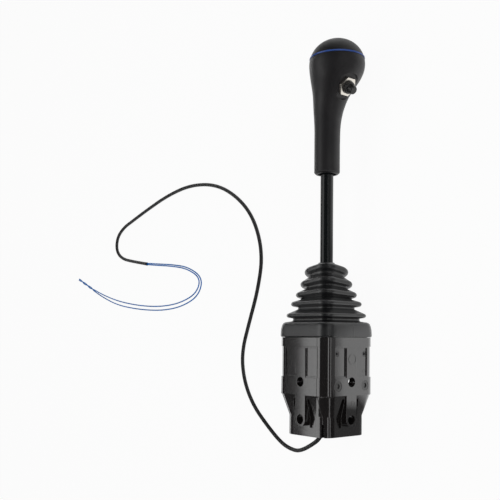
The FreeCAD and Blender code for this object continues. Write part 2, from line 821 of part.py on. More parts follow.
def make_gimbal():
    """The cross block, its two stub pins and the long ball-ended pin at right angles to them."""
    low = f"{PIVOT} - Sizes.cross_height / 2"
    width = "2 * Sizes.cross_half"
    corner_at = ("-Sizes.cross_half", "-Sizes.cross_half", low)
    block = box("CrossBlock", width, width, "Sizes.cross_height", corner_at)
    middle = ("-20", "0", PIVOT)
    long_bore = cylinder("CrossBore", "Sizes.pin_radius", "40", middle, "X")
    tools = [long_bore]
    stubs = []
    stub_end = "Sizes.ear_inner + Sizes.ear_thickness"
    for side in SIDES:
        inner = f"{side} * Sizes.stub_inner"
        bore_start = inner if side > 0 else "-Sizes.cross_half"
        bore_at = ("0", bore_start, PIVOT)
        bore_length = "Sizes.cross_half - Sizes.stub_inner"
        tools.append(cylinder("StubBore", "Sizes.pin_radius", bore_length, bore_at, "Y"))
        pin_start = inner if side > 0 else f"-({stub_end})"
        pin_at = ("0", pin_start, PIVOT)
        pin_length = f"{stub_end} - Sizes.stub_inner"
        stubs.append(cylinder("StubPin", "Sizes.pin_radius", pin_length, pin_at, "Y"))
    finish("gimbal_block", cut("Cross", block, *tools), LEFT_CORNER)
    finish("gimbal_pins", group("StubPins", *stubs), LEFT_CORNER)

    tail = f"{CUP_OUTER} + 2 * Sizes.clip_thickness + 0.4"
    shaft = cylinder(
        "BallPinShaft",
        "Sizes.pin_radius",
        f"{tail} + {BALL_REACH}",
        (f"-({tail})", "0", PIVOT),
        "X",
    )
    ball = sphere("BallPinBall", "Sizes.ball_radius", (BALL_REACH, "0", PIVOT))
    finish("ball_pin", fuse("BallPin", shaft, ball), LEFT_CORNER)
    clip_at = (f"-({CUP_OUTER}) - 0.3 - Sizes.clip_thickness", "0", PIVOT)
    clip = cylinder("ClipDisc", "Sizes.clip_radius", "Sizes.clip_thickness", clip_at, "X")
    clip_bore = cylinder("ClipBore", "Sizes.pin_radius", "Sizes.clip_thickness", clip_at, "X")
    mouth = box(
        "ClipMouth",
        "5",
        "3",
        "10",
        (f"-({CUP_OUTER}) - 4", "-1.5", PIVOT),
    )
    finish("ball_pin_clip", cut("Clip", clip, clip_bore, mouth), LEFT_CORNER)


def make_hub():
    """An inverted cup over the joint, with a threaded boss for the rod and a boss for the stud."""
    rim = f"{PIVOT} - Sizes.cup_depth"
    ceiling = f"{PIVOT} + Sizes.cup_rise"
    cup = turned(
        "Cup",
        [
            ("Sizes.cup_inner", rim),
            (CUP_OUTER, rim),
            (CUP_OUTER, f"{CUP_TOP} - 2"),
            (f"{CUP_OUTER} - 2", CUP_TOP),
            ("Sizes.hub_boss_radius", CUP_TOP),
            ("Sizes.hub_boss_radius", HUB_TOP),
            ("Sizes.rod_radius", HUB_TOP),
            ("Sizes.rod_radius", ceiling),
            ("Sizes.cup_inner", ceiling),
        ],
    )
    stud_boss_at = ("0", "-Sizes.stud_boss_end", PIVOT)
    boss = cylinder(
        "StudBoss",
        "Sizes.stud_boss_radius",
        "Sizes.stud_boss_end - Sizes.cup_inner - 0.5",
        stud_boss_at,
        "Y",
    )
    journals = cylinder(
        "HubBore", "Sizes.journal_outer", "40", ("-20", "0", PIVOT), "X"
    )
    stud_bore = cylinder("StudBore", "Sizes.stud_radius", "10", ("0", "-20", PIVOT), "Y")
    finish("lever_hub", cut("Hub", fuse("HubBlank", cup, boss), journals, stud_bore), LEFT_CORNER)

    bushes = []
    for side in SIDES:
        wall_start = f"{side} * (Sizes.cup_inner + Sizes.cup_wall / 2) - Sizes.cup_wall / 2"
        flange_length = "Sizes.cup_inner - Sizes.spacer_inner - Sizes.spacer_gap"
        flange_start = "Sizes.spacer_inner" if side > 0 else "Sizes.spacer_gap - Sizes.cup_inner"
        journal_length = "Sizes.cup_wall + Sizes.spacer_gap"
        journal_start = "Sizes.cup_inner - Sizes.spacer_gap" if side > 0 else wall_start
        flange = cylinder(
            "HubBushFlange", "Sizes.spacer_radius", flange_length, (flange_start, "0", PIVOT), "X"
        )
        journal = cylinder(
            "HubBushBody", "Sizes.journal_outer", journal_length, (journal_start, "0", PIVOT), "X"
        )
        bore = cylinder(
            "HubBushBore",
            "Sizes.pin_radius + Sizes.bush_clearance",
            "40",
            ("-20", "0", PIVOT),
            "X",
        )
        bushes.append(cut("HubBush", fuse("HubBushBlank", flange, journal), bore))
    finish("hub_bushes", group("HubBushes", *bushes), LEFT_CORNER)

    shank = cylinder(
        "StudShank",
        "Sizes.stud_radius",
        f"{BALL_REACH} - Sizes.stud_root",
        ("0", f"-({BALL_REACH})", PIVOT),
        "Y",
    )
    ball = sphere("StudBall", "Sizes.ball_radius", ("0", f"-({BALL_REACH})", PIVOT))
    finish("ball_stud", fuse("BallStud", shank, ball), LEFT_CORNER)


# Cable sliders


def make_sliders():
    """Two rods in bushes, each with a grooved head that holds its ball from above and below."""
    groove_half = "Sizes.ball_radius + Sizes.groove_clearance"
    head_half = f"{groove_half} + Sizes.jaw_thickness"
    for label, corner in (("cable_slider_left", LEFT_CORNER), ("cable_slider_far", FAR_CORNER)):
        head = box(
            "SliderHead",
            "Sizes.jaw_outer - Sizes.jaw_inner",
            "2 * Sizes.jaw_half",
            f"2 * ({head_half})",
            ("Sizes.jaw_inner", "-Sizes.jaw_half", f"{PIVOT} - ({head_half})"),
        )
        rod_length = f"{PIVOT} - ({head_half}) - Sizes.slider_bottom + 1"
        rod = cylinder(
            "SliderRod", "Sizes.slider_radius", rod_length, (BALL_REACH, "0", "Sizes.slider_bottom")
        )
        groove = box(
            "SliderGroove",
            "Sizes.jaw_outer - Sizes.jaw_inner - Sizes.jaw_web + 1",
            "20",
            f"2 * ({groove_half})",
            ("Sizes.jaw_inner - 1", "-10", f"{PIVOT} - ({groove_half})"),
        )
        thread = cylinder(
            "SliderThread",
            "Sizes.slider_thread_radius",
            "Sizes.slider_thread_depth",
            (BALL_REACH, "0", "Sizes.slider_bottom"),
        )
        finish(label, cut("Slider", fuse("SliderBlank", head, rod), groove, thread), corner)

    bore = "Sizes.slider_radius + Sizes.bush_clearance"
    lower = []
    upper = []
    for side in SIDES:
        lower_tube = turned(
            "LowerBush", tube_profile(bore, "Sizes.bush_outer", "Sizes.port_depth", "Sizes.floor_high")
        )
        upper_tube = turned(
            "UpperBush",
            [
                (bore, "Sizes.shelf"),
                ("Sizes.upper_bush_radius", "Sizes.shelf"),
                ("Sizes.upper_bush_radius", PLATE_TOP),
                ("Sizes.upper_bush_flange", PLATE_TOP),
                ("Sizes.upper_bush_flange", f"{PLATE_TOP} + Sizes.upper_bush_lip"),
                (bore, f"{PLATE_TOP} + Sizes.upper_bush_lip"),
            ],
        )
        for tube, tubes in ((lower_tube, lower), (upper_tube, upper)):
            bind_base(tube, (f"{side} * Sizes.cable_offset", "Sizes.cable_offset", "0"))
            tubes.append(tube)
    finish("slider_bushes_lower", group("LowerBushes", *lower))
    finish("slider_bushes_upper", group("UpperBushes", *upper))


# Lever rod and bellows


def make_rod():
    low = f"{PIVOT} + Sizes.cup_rise + 0.2"
    rod = turned("Rod", tube_profile("Sizes.rod_bore", "Sizes.rod_radius", low, ROD_TOP))
    finish("lever_rod", rod)
    blank = hexagon("LockNutBlank", "Sizes.nut_flat", "Sizes.nut_height", ("0", "0", HUB_TOP))
    bore = cylinder("LockNutBore", "Sizes.rod_radius", "Sizes.nut_height", ("0", "0", HUB_TOP))
    finish("lever_lock_nut", cut("LockNut", blank, bore))


def fold_height(fold):
    return f"(Sizes.housing_top + Sizes.fold_{fold}_rise)"


def bellows_sections(body, name, inset):
    """Rounded squares up the folds, from the skirt's top to the collar on the rod."""
    sections = []

    def section(height, half, corner):
        number = len(sections)
        sections.append(
            rounded_square(
                body, f"{name}{number}", height, f"{half} - ({inset})", f"{corner} - ({inset})"
            )
        )

    skirt_neck = "Sizes.fold_half_top + 4.2 * Sizes.fold_half_step"
    section(f"{SKIRT_TOP} - Sizes.bellows_wall", skirt_neck, "Sizes.neck_corner")
    for fold in range(5, 0, -1):
        steps = fold - 1
        corner = f"Sizes.fold_corner_top - {steps} * Sizes.fold_corner_step"
        groove = f"Sizes.groove_half_top + {steps + 1} * Sizes.groove_half_step"
        fold_half = f"Sizes.fold_half_top + {steps} * Sizes.fold_half_step"
        below = fold_height(fold + 1) if fold < 5 else SKIRT_TOP
        middle = f"({fold_height(fold)} + {below}) / 2 + Sizes.groove_rise"
        section(middle, groove, corner)
        section(f"{fold_height(fold)} - Sizes.fold_tip", fold_half, corner)
        section(f"{fold_height(fold)} + Sizes.fold_tip", fold_half, corner)
    return sections


def make_bellows():
    """A skirt over the housing's rim and five folds, open inside."""
    body = doc.addObject("PartDesign::Body", "Bellows")
    skirt = rounded_square(
        body, "SkirtSketch", "Sizes.housing_top", "Sizes.skirt_half", "Sizes.skirt_corner"
    )
    pad(body, "Skirt", skirt, f"{SKIRT_TOP} - Sizes.skirt_edge - Sizes.housing_top")
    edge_low = rounded_square(
        body, "EdgeLow", f"{SKIRT_TOP} - Sizes.skirt_edge", "Sizes.skirt_half", "Sizes.skirt_corner"
    )
    edge_high = rounded_square(
        body,
        "EdgeHigh",
        SKIRT_TOP,
        "Sizes.skirt_half - Sizes.skirt_edge",
        "Sizes.skirt_corner - Sizes.skirt_edge / 2",
    )
    loft(body, "SkirtEdge", [edge_low, edge_high])
    outer = bellows_sections(body, "Fold", "0")
    collar_half = "Sizes.collar_radius"
    collar_low = rounded_square(
        body, "CollarLow", f"{BELLOWS_TOP} - Sizes.collar_height", collar_half, f"{collar_half} - 0.1"
    )
    collar_high = rounded_square(
        body, "CollarHigh", BELLOWS_TOP, collar_half, f"{collar_half} - 0.1"
    )
    loft(body, "Folds", outer + [collar_low, collar_high])
    doc.recompute()
    seat = rounded_square(
        body,
        "RimSeatSketch",
        "Sizes.housing_top",
        "Sizes.rim_half + Sizes.bellows_gap",
        "Sizes.rim_corner + Sizes.bellows_gap",
    )
    pocket(
        body,
        "RimSeat",
        seat,
        f"{RIM_TOP} - Sizes.housing_top + Sizes.bellows_gap",
        backwards=True,
    )
    throat = rounded_square(
        body, "ThroatSketch", "Sizes.housing_top", RIM_INNER, "Sizes.rim_corner - Sizes.rim_wall"
    )
    pocket(
        body, "Throat", throat, f"{SKIRT_TOP} - Sizes.bellows_wall - Sizes.housing_top", backwards=True
    )
    inner = bellows_sections(body, "Inner", "Sizes.bellows_wall")
    loft(body, "Hollow", inner, "PartDesign::SubtractiveLoft")
    way = sketch_on(body, "RodWaySketch", offset=fold_height(1))
    draw_circle(way, "Sizes.rod_radius + Sizes.bellows_gap")
    pocket(body, "RodWay", way, f"{BELLOWS_TOP} - {fold_height(1)}", backwards=True)
    finish("boot", body)


# Knob


def knob_section(body, name, height, offset, radius):
    sketch = sketch_on(body, name, offset=height)
    draw_circle(sketch, radius, "0", f"-({offset})")
    return sketch


def knob_sections(body, name, inset, stages):
    """Circles up the knob; each stage gives a height, a sideways share of the head and a radius."""
    sections = []
    for number, (height, share, radius) in enumerate(stages):
        offset = f"{share} * Sizes.head_offset"
        sections.append(
            knob_section(body, f"{name}{number}", height, offset, f"({radius}) - ({inset})")
        )
    return sections


def knob_stages():
    """The stem, the swelling towards the button side and the head up to the ring's groove."""
    up = f"{KNOB_BOTTOM} + Sizes.knob_length"
    return [
        (f"{up} * 0.283", "0", "Sizes.stem_radius"),
        (f"{up} * 0.434", "0.02", "Sizes.stem_radius * 1.02"),
        (f"{up} * 0.528", "0.06", "Sizes.stem_radius * 1.09"),
        (f"{up} * 0.624", "0.17", "Sizes.stem_radius * 1.22"),
        (f"{up} * 0.73", "0.41", "Sizes.head_radius * 0.67"),
        (f"{up} * 0.836", "0.75", "Sizes.head_radius * 0.845"),
        (f"{up} * 0.913", "0.94", "Sizes.head_radius * 0.955"),
        ("Sizes.head_height", "1", "Sizes.head_radius"),
        (RING_HEIGHT, "1", "Sizes.head_radius * 0.98"),
    ]


def seat_tools():
    """What the push button takes out of the knob: a flat seat, its thread's hole and its room."""
    flat = cylinder("SeatFlat", "Sizes.seat_radius", "20")
    hole_at = ("0", "0", "-Sizes.panel_wall - 1")
    thread = cylinder("SeatHole", "Sizes.switch_thread", "Sizes.panel_wall + 2", hole_at)
    room_length = "Sizes.shoulder_thickness + Sizes.case_length + 8"
    room_at = ("0", "0", f"-Sizes.panel_wall - ({room_length})")
    room = cylinder("SeatRoom", "Sizes.switch_shoulder + 0.8", room_length, room_at)
    tools = fuse("SeatTools", flat, thread, room)
    tools.Placement = Placement(Vector(), Rotation(Vector(1, 0, 0), 90 + SIZES["button_slope"]))
    bind_base(tools, ("0", "-Sizes.seat_offset", SEAT_HEIGHT))
    return tools


def make_knob():
    body = doc.addObject("PartDesign::Body", "KnobShell")
    stages = knob_stages()
    foot = knob_section(body, "KnobFoot", KNOB_BOTTOM, "0", "Sizes.stem_radius - Sizes.knob_edge")
    shoulder = knob_section(
        body, "KnobShoulder", f"{KNOB_BOTTOM} + Sizes.knob_edge", "0", "Sizes.stem_radius"
    )
    loft(body, "KnobEdge", [foot, shoulder])
    neck = knob_section(body, "KnobNeck", f"{KNOB_BOTTOM} + Sizes.knob_edge", "0", "Sizes.stem_radius")
    stem_top = knob_section(body, "KnobStemTop", stages[0][0], "0", "Sizes.stem_radius")
    loft(body, "KnobStem", [neck, stem_top])
    loft(body, "KnobSwell", knob_sections(body, "Swell", "0", stages), ruled=False)
    doc.recompute()
    cavity_stages = [(CAVITY_FLOOR, "0.47", "Sizes.head_radius * 0.70")] + stages[5:]
    cavity = knob_sections(body, "Cavity", "Sizes.head_wall", cavity_stages)
    loft(body, "KnobCavity", cavity, "PartDesign::SubtractiveLoft", ruled=False)
    recess = sketch_on(body, "RecessSketch", offset=KNOB_BOTTOM)
    draw_circle(recess, "Sizes.knob_recess_radius")
    pocket(body, "Recess", recess, "Sizes.knob_recess_depth", backwards=True)
    bore = sketch_on(body, "RodBoreSketch", offset=KNOB_BOTTOM)
    draw_circle(bore, "Sizes.rod_radius")
    pocket(body, "RodBore", bore, f"{ROD_TOP} - {KNOB_BOTTOM}", backwards=True)
    insert = sketch_on(body, "InsertSketch", offset=INSERT_LOW)
    draw_circle(insert, "Sizes.insert_radius")
    pocket(body, "InsertSeat", insert, f"{INSERT_HIGH} - {INSERT_LOW}", backwards=True)
    wires = sketch_on(body, "WireHoleSketch", offset=f"{ROD_TOP} - 1")
    draw_circle(wires, "Sizes.wire_hole")
    pocket(body, "WireHole", wires, f"{CAVITY_FLOOR} - {ROD_TOP} + 4", backwards=True)
    finish("knob_body", cut("KnobBody", body, seat_tools()))
    finish(
        "knob_insert",
        turned(
            "Insert",
            tube_profile("Sizes.rod_radius", "Sizes.insert_radius", INSERT_LOW, INSERT_HIGH),
        ),
    )
    ring = turned(
        "Ring",
        tube_profile(
            "Sizes.ring_bore",
            "Sizes.ring_radius",
            RING_HEIGHT,
            f"{RING_HEIGHT} + Sizes.ring_thickness",
        ),
    )
    bind_base(ring, ("0", "-Sizes.head_offset", "0"))
    finish("knob_ring", group("RingPiece", ring))
    make_knob_cap()


def make_knob_cap():
    """A domed cap, an ellipse turned about the head's axis, with a spigot into the knob."""
    low = f"{RING_HEIGHT} + Sizes.ring_thickness"
    outer = doc.addObject("Part::Ellipsoid", "CapOuter")
    inner = doc.addObject("Part::Ellipsoid", "CapInner")
    for item, inset in ((outer, "0"), (inner, "Sizes.head_wall")):
        bind(
            item,
            Radius1=f"Sizes.head_rise - {inset}",
            Radius2=f"Sizes.head_radius - {inset}",
            Radius3=f"Sizes.head_radius - {inset}",
        )
        bind_base(item, ("0", "0", "Sizes.head_height"))
    below = cylinder("CapBelow", "60", f"60 + {low}", ("0", "0", "-60"))
    dome = cut("CapDome", outer, inner, below)
    spigot_low = f"{RING_HEIGHT} - Sizes.spigot_depth"
    spigot = turned(
        "Spigot",
        tube_profile(
            "Sizes.ring_bore - 2.4",
            "Sizes.head_radius * 0.98 - Sizes.head_wall - 0.1",
            spigot_low,
            f"{low} + 1",
        ),
    )
    cap = fuse("Cap", dome, spigot)
    bind_base(cap, ("0", "-Sizes.head_offset", "0"))
    finish("knob_cap", group("CapPiece", cap))


def make_switch():
    """The push button, along its own axis: z = 0 is the seat and z grows outwards."""
    back = f"-({SWITCH_BACK})"
    bore = "Sizes.button_radius + Sizes.button_clearance"
    bushing = turned(
        "Bushing",
        [
            (bore, back),
            ("Sizes.switch_shoulder", back),
            ("Sizes.switch_shoulder", "-Sizes.panel_wall"),
            ("Sizes.switch_thread", "-Sizes.panel_wall"),
            ("Sizes.switch_thread", "Sizes.switch_nut_height"),
            ("Sizes.switch_bezel", "Sizes.switch_nut_height + 0.3"),
            ("Sizes.switch_bezel", "Sizes.switch_nose - 0.8"),
            ("Sizes.switch_bezel - 0.8", "Sizes.switch_nose"),
            (bore, "Sizes.switch_nose"),
        ],
    )
    finish_on_seat("switch_bushing", bushing)
    nut_blank = hexagon("SwitchNutBlank", "Sizes.switch_nut_flat", "Sizes.switch_nut_height")
    nut_bore = cylinder("SwitchNutBore", "Sizes.switch_thread", "Sizes.switch_nut_height")
    finish_on_seat("switch_nut", cut("SwitchNut", nut_blank, nut_bore))
    case_end = f"{back} - Sizes.case_length"
    inside = "Sizes.case_radius - Sizes.case_wall"
    case = turned(
        "Case",
        [
            ("0", case_end),
            ("Sizes.case_radius", case_end),
            ("Sizes.case_radius", back),
            (inside, back),
            (inside, f"{case_end} + Sizes.case_wall"),
            ("0", f"{case_end} + Sizes.case_wall"),
        ],
    )
    finish_on_seat("switch_case", case)
    flange_low = f"{back} - 1.8"
    button = turned(
        "Button",
        [
            ("0", flange_low),
            ("Sizes.button_flange", flange_low),
            ("Sizes.button_flange", f"{back} - 0.3"),
            ("Sizes.button_radius", f"{back} - 0.3"),
            ("Sizes.button_radius", "Sizes.button_tip - 0.7"),
            ("Sizes.button_radius - 0.7", "Sizes.button_tip"),
            ("0", "Sizes.button_tip"),
        ],
    )
    finish_on_seat("button", button)
    make_spring(f"{case_end} + Sizes.case_wall", flange_low)
    terminals = []
    for side in SIDES:
        at = (
            f"{side} * Sizes.terminal_side - Sizes.terminal_thickness / 2",
            "-Sizes.terminal_width / 2",
            f"{case_end} - Sizes.terminal_length",
        )
        terminals.append(
            box("Terminal", "Sizes.terminal_thickness", "Sizes.terminal_width", "Sizes.terminal_length", at)
        )
    finish_on_seat("switch_terminals", group("Terminals", *terminals))


def make_spring(low, high):
    """A coil between the case's floor and the button's flange, lofted from slices of its wire."""
    wire_radius = value("Sizes.spring_wire")
    start = value(low) + wire_radius + 0.1
    end = value(high) - wire_radius - 0.1
    slices = int(value("Sizes.spring_turns") * SPRING_SLICES)
    sections = []
    for number in range(slices + 1):
        angle = 2 * math.pi * number / SPRING_SLICES
        outward = Vector(math.cos(angle), math.sin(angle), 0)
        middle = outward * value("Sizes.spring_radius") + Vector(0, 0, (end - start) * number / slices)
        ring = []
        for corner in range(WIRE_SIDES):
            turn = math.pi * (2 * corner + 1) / WIRE_SIDES
            across = outward * wire_radius * math.cos(turn)
            ring.append(middle + across + Vector(0, 0, wire_radius * math.sin(turn)))
        sections.append(Part.makePolygon(ring + ring[:1]))
    spring = doc.addObject("Part::Feature", "Spring")
    spring.Shape = Part.makeLoft(sections, True, True)
    spring.Placement = Placement(Vector(0, 0, start), Rotation())
    finish_on_seat("button_spring", group("SpringPiece", spring))


# Lead: the braided sheath with two bare-ended wires, laid out on the ground


def rounded_path(points):
    """Straight runs joined by tangent arcs, each as large as its two runs allow."""
    spots = [Vector(*point) for point in points]
    edges = []
    here = spots[0]
    radii = []
    for before, corner, after in zip(spots, spots[1:], spots[2:]):
        incoming = (corner - before).normalize()
        outgoing = (after - corner).normalize()
        half_turn = incoming.getAngle(outgoing) / 2
        tangent = 0.45 * min((corner - before).Length, (after - corner).Length)
        radii.append(tangent / math.tan(half_turn))
        arc_start = corner - incoming * tangent
        arc_end = corner + outgoing * tangent
        sag = radii[-1] * (1 / math.cos(half_turn) - 1)
        arc_middle = corner + (outgoing - incoming).normalize() * sag
        edges.append(Part.LineSegment(here, arc_start).toShape())
        edges.append(Part.Arc(arc_start, arc_middle, arc_end).toShape())
        here = arc_end
    edges.append(Part.LineSegment(here, spots[-1]).toShape())
    return Part.Wire(edges), radii


def lay_cord(label, points, radius):
    """A plain tube along a route that is already in the joystick's lying frame."""
    path, radii = rounded_path(points)
    start = Vector(*points[0])
    direction = (Vector(*points[1]) - start).normalize()
    profile = Part.Wire([Part.makeCircle(radius, start, direction)])
    shape = path.makePipeShell([profile], True, False)
    expected = math.pi * radius**2 * path.Length
    if abs(shape.Volume / expected - 1) > 0.01:
        raise ValueError(f"{label} has an uneven section")
    print(f"{label}: {path.Length:.0f} mm, radii", " ".join(f"{size:.0f}" for size in radii))
    cord = doc.addObject("Part::Feature", "".join(word.title() for word in label.split("_")))
    cord.Shape = shape
    cord.Label = label
    PIECES.append(cord)


def make_lead():
    grommet = turned(
        "Grommet",
        [
            ("Sizes.grommet_bore", "Sizes.floor_low - Sizes.grommet_lip"),
            ("Sizes.grommet_flange - 1", "Sizes.floor_low - Sizes.grommet_lip"),
            ("Sizes.grommet_flange", "Sizes.floor_low - Sizes.grommet_lip + 1"),
            ("Sizes.grommet_flange", "Sizes.floor_low"),
            ("Sizes.grommet_neck", "Sizes.floor_low"),
            ("Sizes.grommet_neck", "Sizes.floor_high"),
            ("Sizes.grommet_flange - 0.6", "Sizes.floor_high"),
            ("Sizes.grommet_flange - 1.4", "Sizes.floor_high + 2"),
            ("Sizes.grommet_bore", "Sizes.floor_high + 2"),
        ],
    )
    finish("lead_grommet", grommet)
    exit_x = value(f"Sizes.floor_low - Sizes.grommet_lip - ({HOLE_MIDDLE})")
    exit_z = value("Sizes.face_half")
    sheath_z = value("Sizes.sheath_radius")
    wire_z = value("Sizes.wire_radius")
    sheath = [
        (exit_x, 0.0, exit_z),
        (-24.0, 0.0, exit_z),
        (-38.0, 8.0, 32.0),
        (-47.0, 26.0, 27.0),
        (-55.0, 50.0, 16.0),
        (-59.0, 72.0, 5.0),
        (-55.0, 94.0, sheath_z),
        (-39.0, 117.0, sheath_z),
        (-17.0, 143.0, sheath_z),
        (10.0, 159.0, sheath_z),
        (40.0, 163.0, sheath_z),
        (74.0, 150.0, sheath_z),
        (108.0, 136.0, sheath_z),
        (146.0, 128.0, sheath_z),
        (184.0, 141.0, sheath_z),
        (212.0, 168.0, sheath_z),
        (234.0, 210.0, sheath_z),
        (241.0, 262.0, sheath_z),
        (235.0, 312.0, sheath_z),
        (222.0, 362.0, sheath_z),
        (212.0, 396.0, sheath_z),
        (205.0, 420.0, sheath_z),
        (193.0, 437.0, sheath_z),
        (175.0, 439.0, sheath_z),
        (163.0, 424.0, sheath_z),
        (157.0, 394.0, sheath_z),
        (151.7, 360.0, sheath_z),
    ]
    lay_cord("lead_sheath", sheath, sheath_z)
    inner_wire = [
        (150.9, 360.0, 2.0),
        (149.2, 338.0, wire_z),
        (147.0, 306.0, wire_z),
        (141.0, 270.0, wire_z),
        (128.0, 243.0, wire_z),
        (110.0, 252.0, wire_z),
        (99.0, 285.0, wire_z),
        (95.5, 322.0, wire_z),
        (96.5, 362.0, wire_z),
        (100.5, 402.0, wire_z),
        (106.5, 440.0, wire_z),
        (117.0, 478.0, wire_z),
        (129.0, 512.0, wire_z),
        (142.0, 548.0, wire_z),
    ]
    outer_wire = [
        (152.5, 359.75, 2.0),
        (151.4, 336.0, wire_z),
        (149.6, 303.0, wire_z),
        (144.0, 266.0, wire_z),
        (127.0, 234.0, wire_z),
        (105.0, 245.0, wire_z),
        (94.5, 281.0, wire_z),
        (90.5, 320.0, wire_z),
        (91.5, 360.0, wire_z),
        (95.0, 400.0, wire_z),
        (101.0, 440.0, wire_z),
        (113.0, 480.0, wire_z),
        (126.0, 514.0, wire_z),
        (139.5, 550.0, wire_z),
    ]
    lay_cord("lead_wire_inner", inner_wire, wire_z)
    lay_cord("lead_wire_outer", outer_wire, wire_z)


make_housing()
make_lid_screws()
make_bracket()
make_gimbal()
make_hub()
make_sliders()
make_rod()
make_bellows()
make_knob()
make_switch()
make_lead()
doc.recompute()

for item in doc.Objects:
    if {"Invalid", "Error"} & set(item.State):
        raise ValueError(f"{item.Label} did not build")
for piece in PIECES:
    if piece.Shape.isNull() or not piece.Shape.isValid() or not piece.Shape.Solids:
        raise ValueError(f"{piece.Label} has no sound solid")
for piece in PIECES:
    piece.Shape.exportStep(f"parts/{piece.Label}.step")
print(len(PIECES), "sub-parts,", sum(len(piece.Shape.Solids) for piece in PIECES), "solids")
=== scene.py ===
# %% [markdown]
# A mechanical cable joystick
#
# The real object is a control lever for hydraulic valves. A square moulded housing holds a two-axis
# pivot and two cable sliders. A rubber bellows closes it, and a black rod carries a bulging knob with a
# push button, whose lead leaves the housing's foot in a braided sleeve and ends in two blue wires.
# The solids come from CAD as a frame whose bodies move. Most pieces made here ride on those bodies.

# %% The frame
import json
import math

import bmesh
import bpy
from mathutils import Matrix, Vector


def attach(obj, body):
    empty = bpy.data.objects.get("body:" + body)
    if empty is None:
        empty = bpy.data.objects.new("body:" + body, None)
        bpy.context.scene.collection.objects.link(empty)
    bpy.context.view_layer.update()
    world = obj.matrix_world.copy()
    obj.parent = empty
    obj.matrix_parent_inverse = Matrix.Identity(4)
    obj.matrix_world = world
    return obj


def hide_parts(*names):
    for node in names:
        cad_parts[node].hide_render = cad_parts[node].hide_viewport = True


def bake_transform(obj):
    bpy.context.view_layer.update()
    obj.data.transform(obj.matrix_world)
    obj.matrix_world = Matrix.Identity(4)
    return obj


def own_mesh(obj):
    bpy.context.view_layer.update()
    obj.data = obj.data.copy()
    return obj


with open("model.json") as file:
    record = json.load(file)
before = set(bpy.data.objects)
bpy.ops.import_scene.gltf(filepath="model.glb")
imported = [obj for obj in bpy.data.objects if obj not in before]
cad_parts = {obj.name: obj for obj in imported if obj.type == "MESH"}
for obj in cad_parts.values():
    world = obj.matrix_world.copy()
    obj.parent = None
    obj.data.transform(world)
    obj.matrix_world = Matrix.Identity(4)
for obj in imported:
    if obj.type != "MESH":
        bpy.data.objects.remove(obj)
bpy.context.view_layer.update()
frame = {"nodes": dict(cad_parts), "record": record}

BODY_OF = {
    node: body for body, nodes in frame["record"]["behaviour"]["bodies"].items() for node in nodes
}
SLOT_OF = {part["node"]: part["material_slot"] for part in frame["record"]["subparts"]}

# %% [markdown]
# Millimetres, and which way is up
#
# The joystick lies on its mounting side, because that is how it rests on a bench. It is easier to think
# of it upright, as a person holds it. `lying` takes an upright place in millimetres: x towards the
# mounting side, y away from the button, and the height above the housing's underside. It gives the
# place on the bench in metres.

# %% Upright places turned to the bench
MM = 0.001
FOOT_SETBACK = 32.7
HALF_WIDTH = 33.0


def lying(x, y, height):
    """The place on the bench, in metres, of an upright place in millimetres."""
    return Vector(((height - FOOT_SETBACK) * MM, y * MM, (HALF_WIDTH - x) * MM))


PIVOT_HEIGHT = 78.0
print("pivot at", [round(c, 4) for c in lying(0, 0, PIVOT_HEIGHT)])

# %% [markdown]
# The camera
#
# The photographer stood at the housing's corner, so that both of its faces show, with the lens near the
# height of the housing. On the bench that is a camera rolled onto its side. The lens's eye level is
# low in the picture, and a vertical shift gives that without making the upright lines lean.

# %% Where the camera stands and looks
PICTURE = 500
SENSOR = 36.0
FOCAL_PIXELS = 800.0
EYE_LEVEL_PIXEL = 337.0
LEVER_OFFSET_PIXELS = 75.5
AIM_HEIGHT = 90.0
DISTANCE = 0.750
SIDESTEP = 0.00047
YAW = math.atan2(LEVER_OFFSET_PIXELS, FOCAL_PIXELS)
LEAN = math.radians(0.35)

upward = Vector((1, 0, 0))
sideways = Vector((0, -1, -1)).normalized()
inward = Vector((0, 1, -1)).normalized()
looking = math.cos(YAW) * inward - math.sin(YAW) * sideways
right_hand = math.cos(YAW) * sideways + math.sin(YAW) * inward
picture_right = math.cos(LEAN) * right_hand + math.sin(LEAN) * upward
picture_up = math.cos(LEAN) * upward - math.sin(LEAN) * right_hand
aim = lying(0, 0, AIM_HEIGHT) - SIDESTEP * picture_right
print("camera stands", DISTANCE, "m from", [round(c, 4) for c in aim])

# %% The camera


def link(piece):
    """Puts a new object into the scene and hands it back."""
    bpy.context.scene.collection.objects.link(piece)
    return piece


camera = link(bpy.data.objects.new("Camera", bpy.data.cameras.new("Camera")))
camera.data.sensor_width = SENSOR
camera.data.lens = SENSOR * FOCAL_PIXELS / PICTURE
camera.data.shift_y = (EYE_LEVEL_PIXEL - PICTURE / 2) / PICTURE
axes = Matrix((picture_right, picture_up, -looking)).transposed()
camera.matrix_world = Matrix.Translation(aim - inward * DISTANCE) @ axes.to_4x4()
bpy.context.scene.camera = camera
print("lens", round(camera.data.lens, 1), "mm, shift", round(camera.data.shift_y, 3))

# %% [markdown]
# Sums made of nodes
#
# A finish is a sum of small signals, such as grain, wear and dust, and so is a rule for a shape. Writing
# them as arithmetic keeps them readable. `Signal` wraps a node's output, and each operator adds one Math
# node. `Workbench.node` makes every other node: it sets the node's settings first and then its sockets.

# %% Signals
KINDS = ("ShaderNode", "GeometryNode", "FunctionNode")


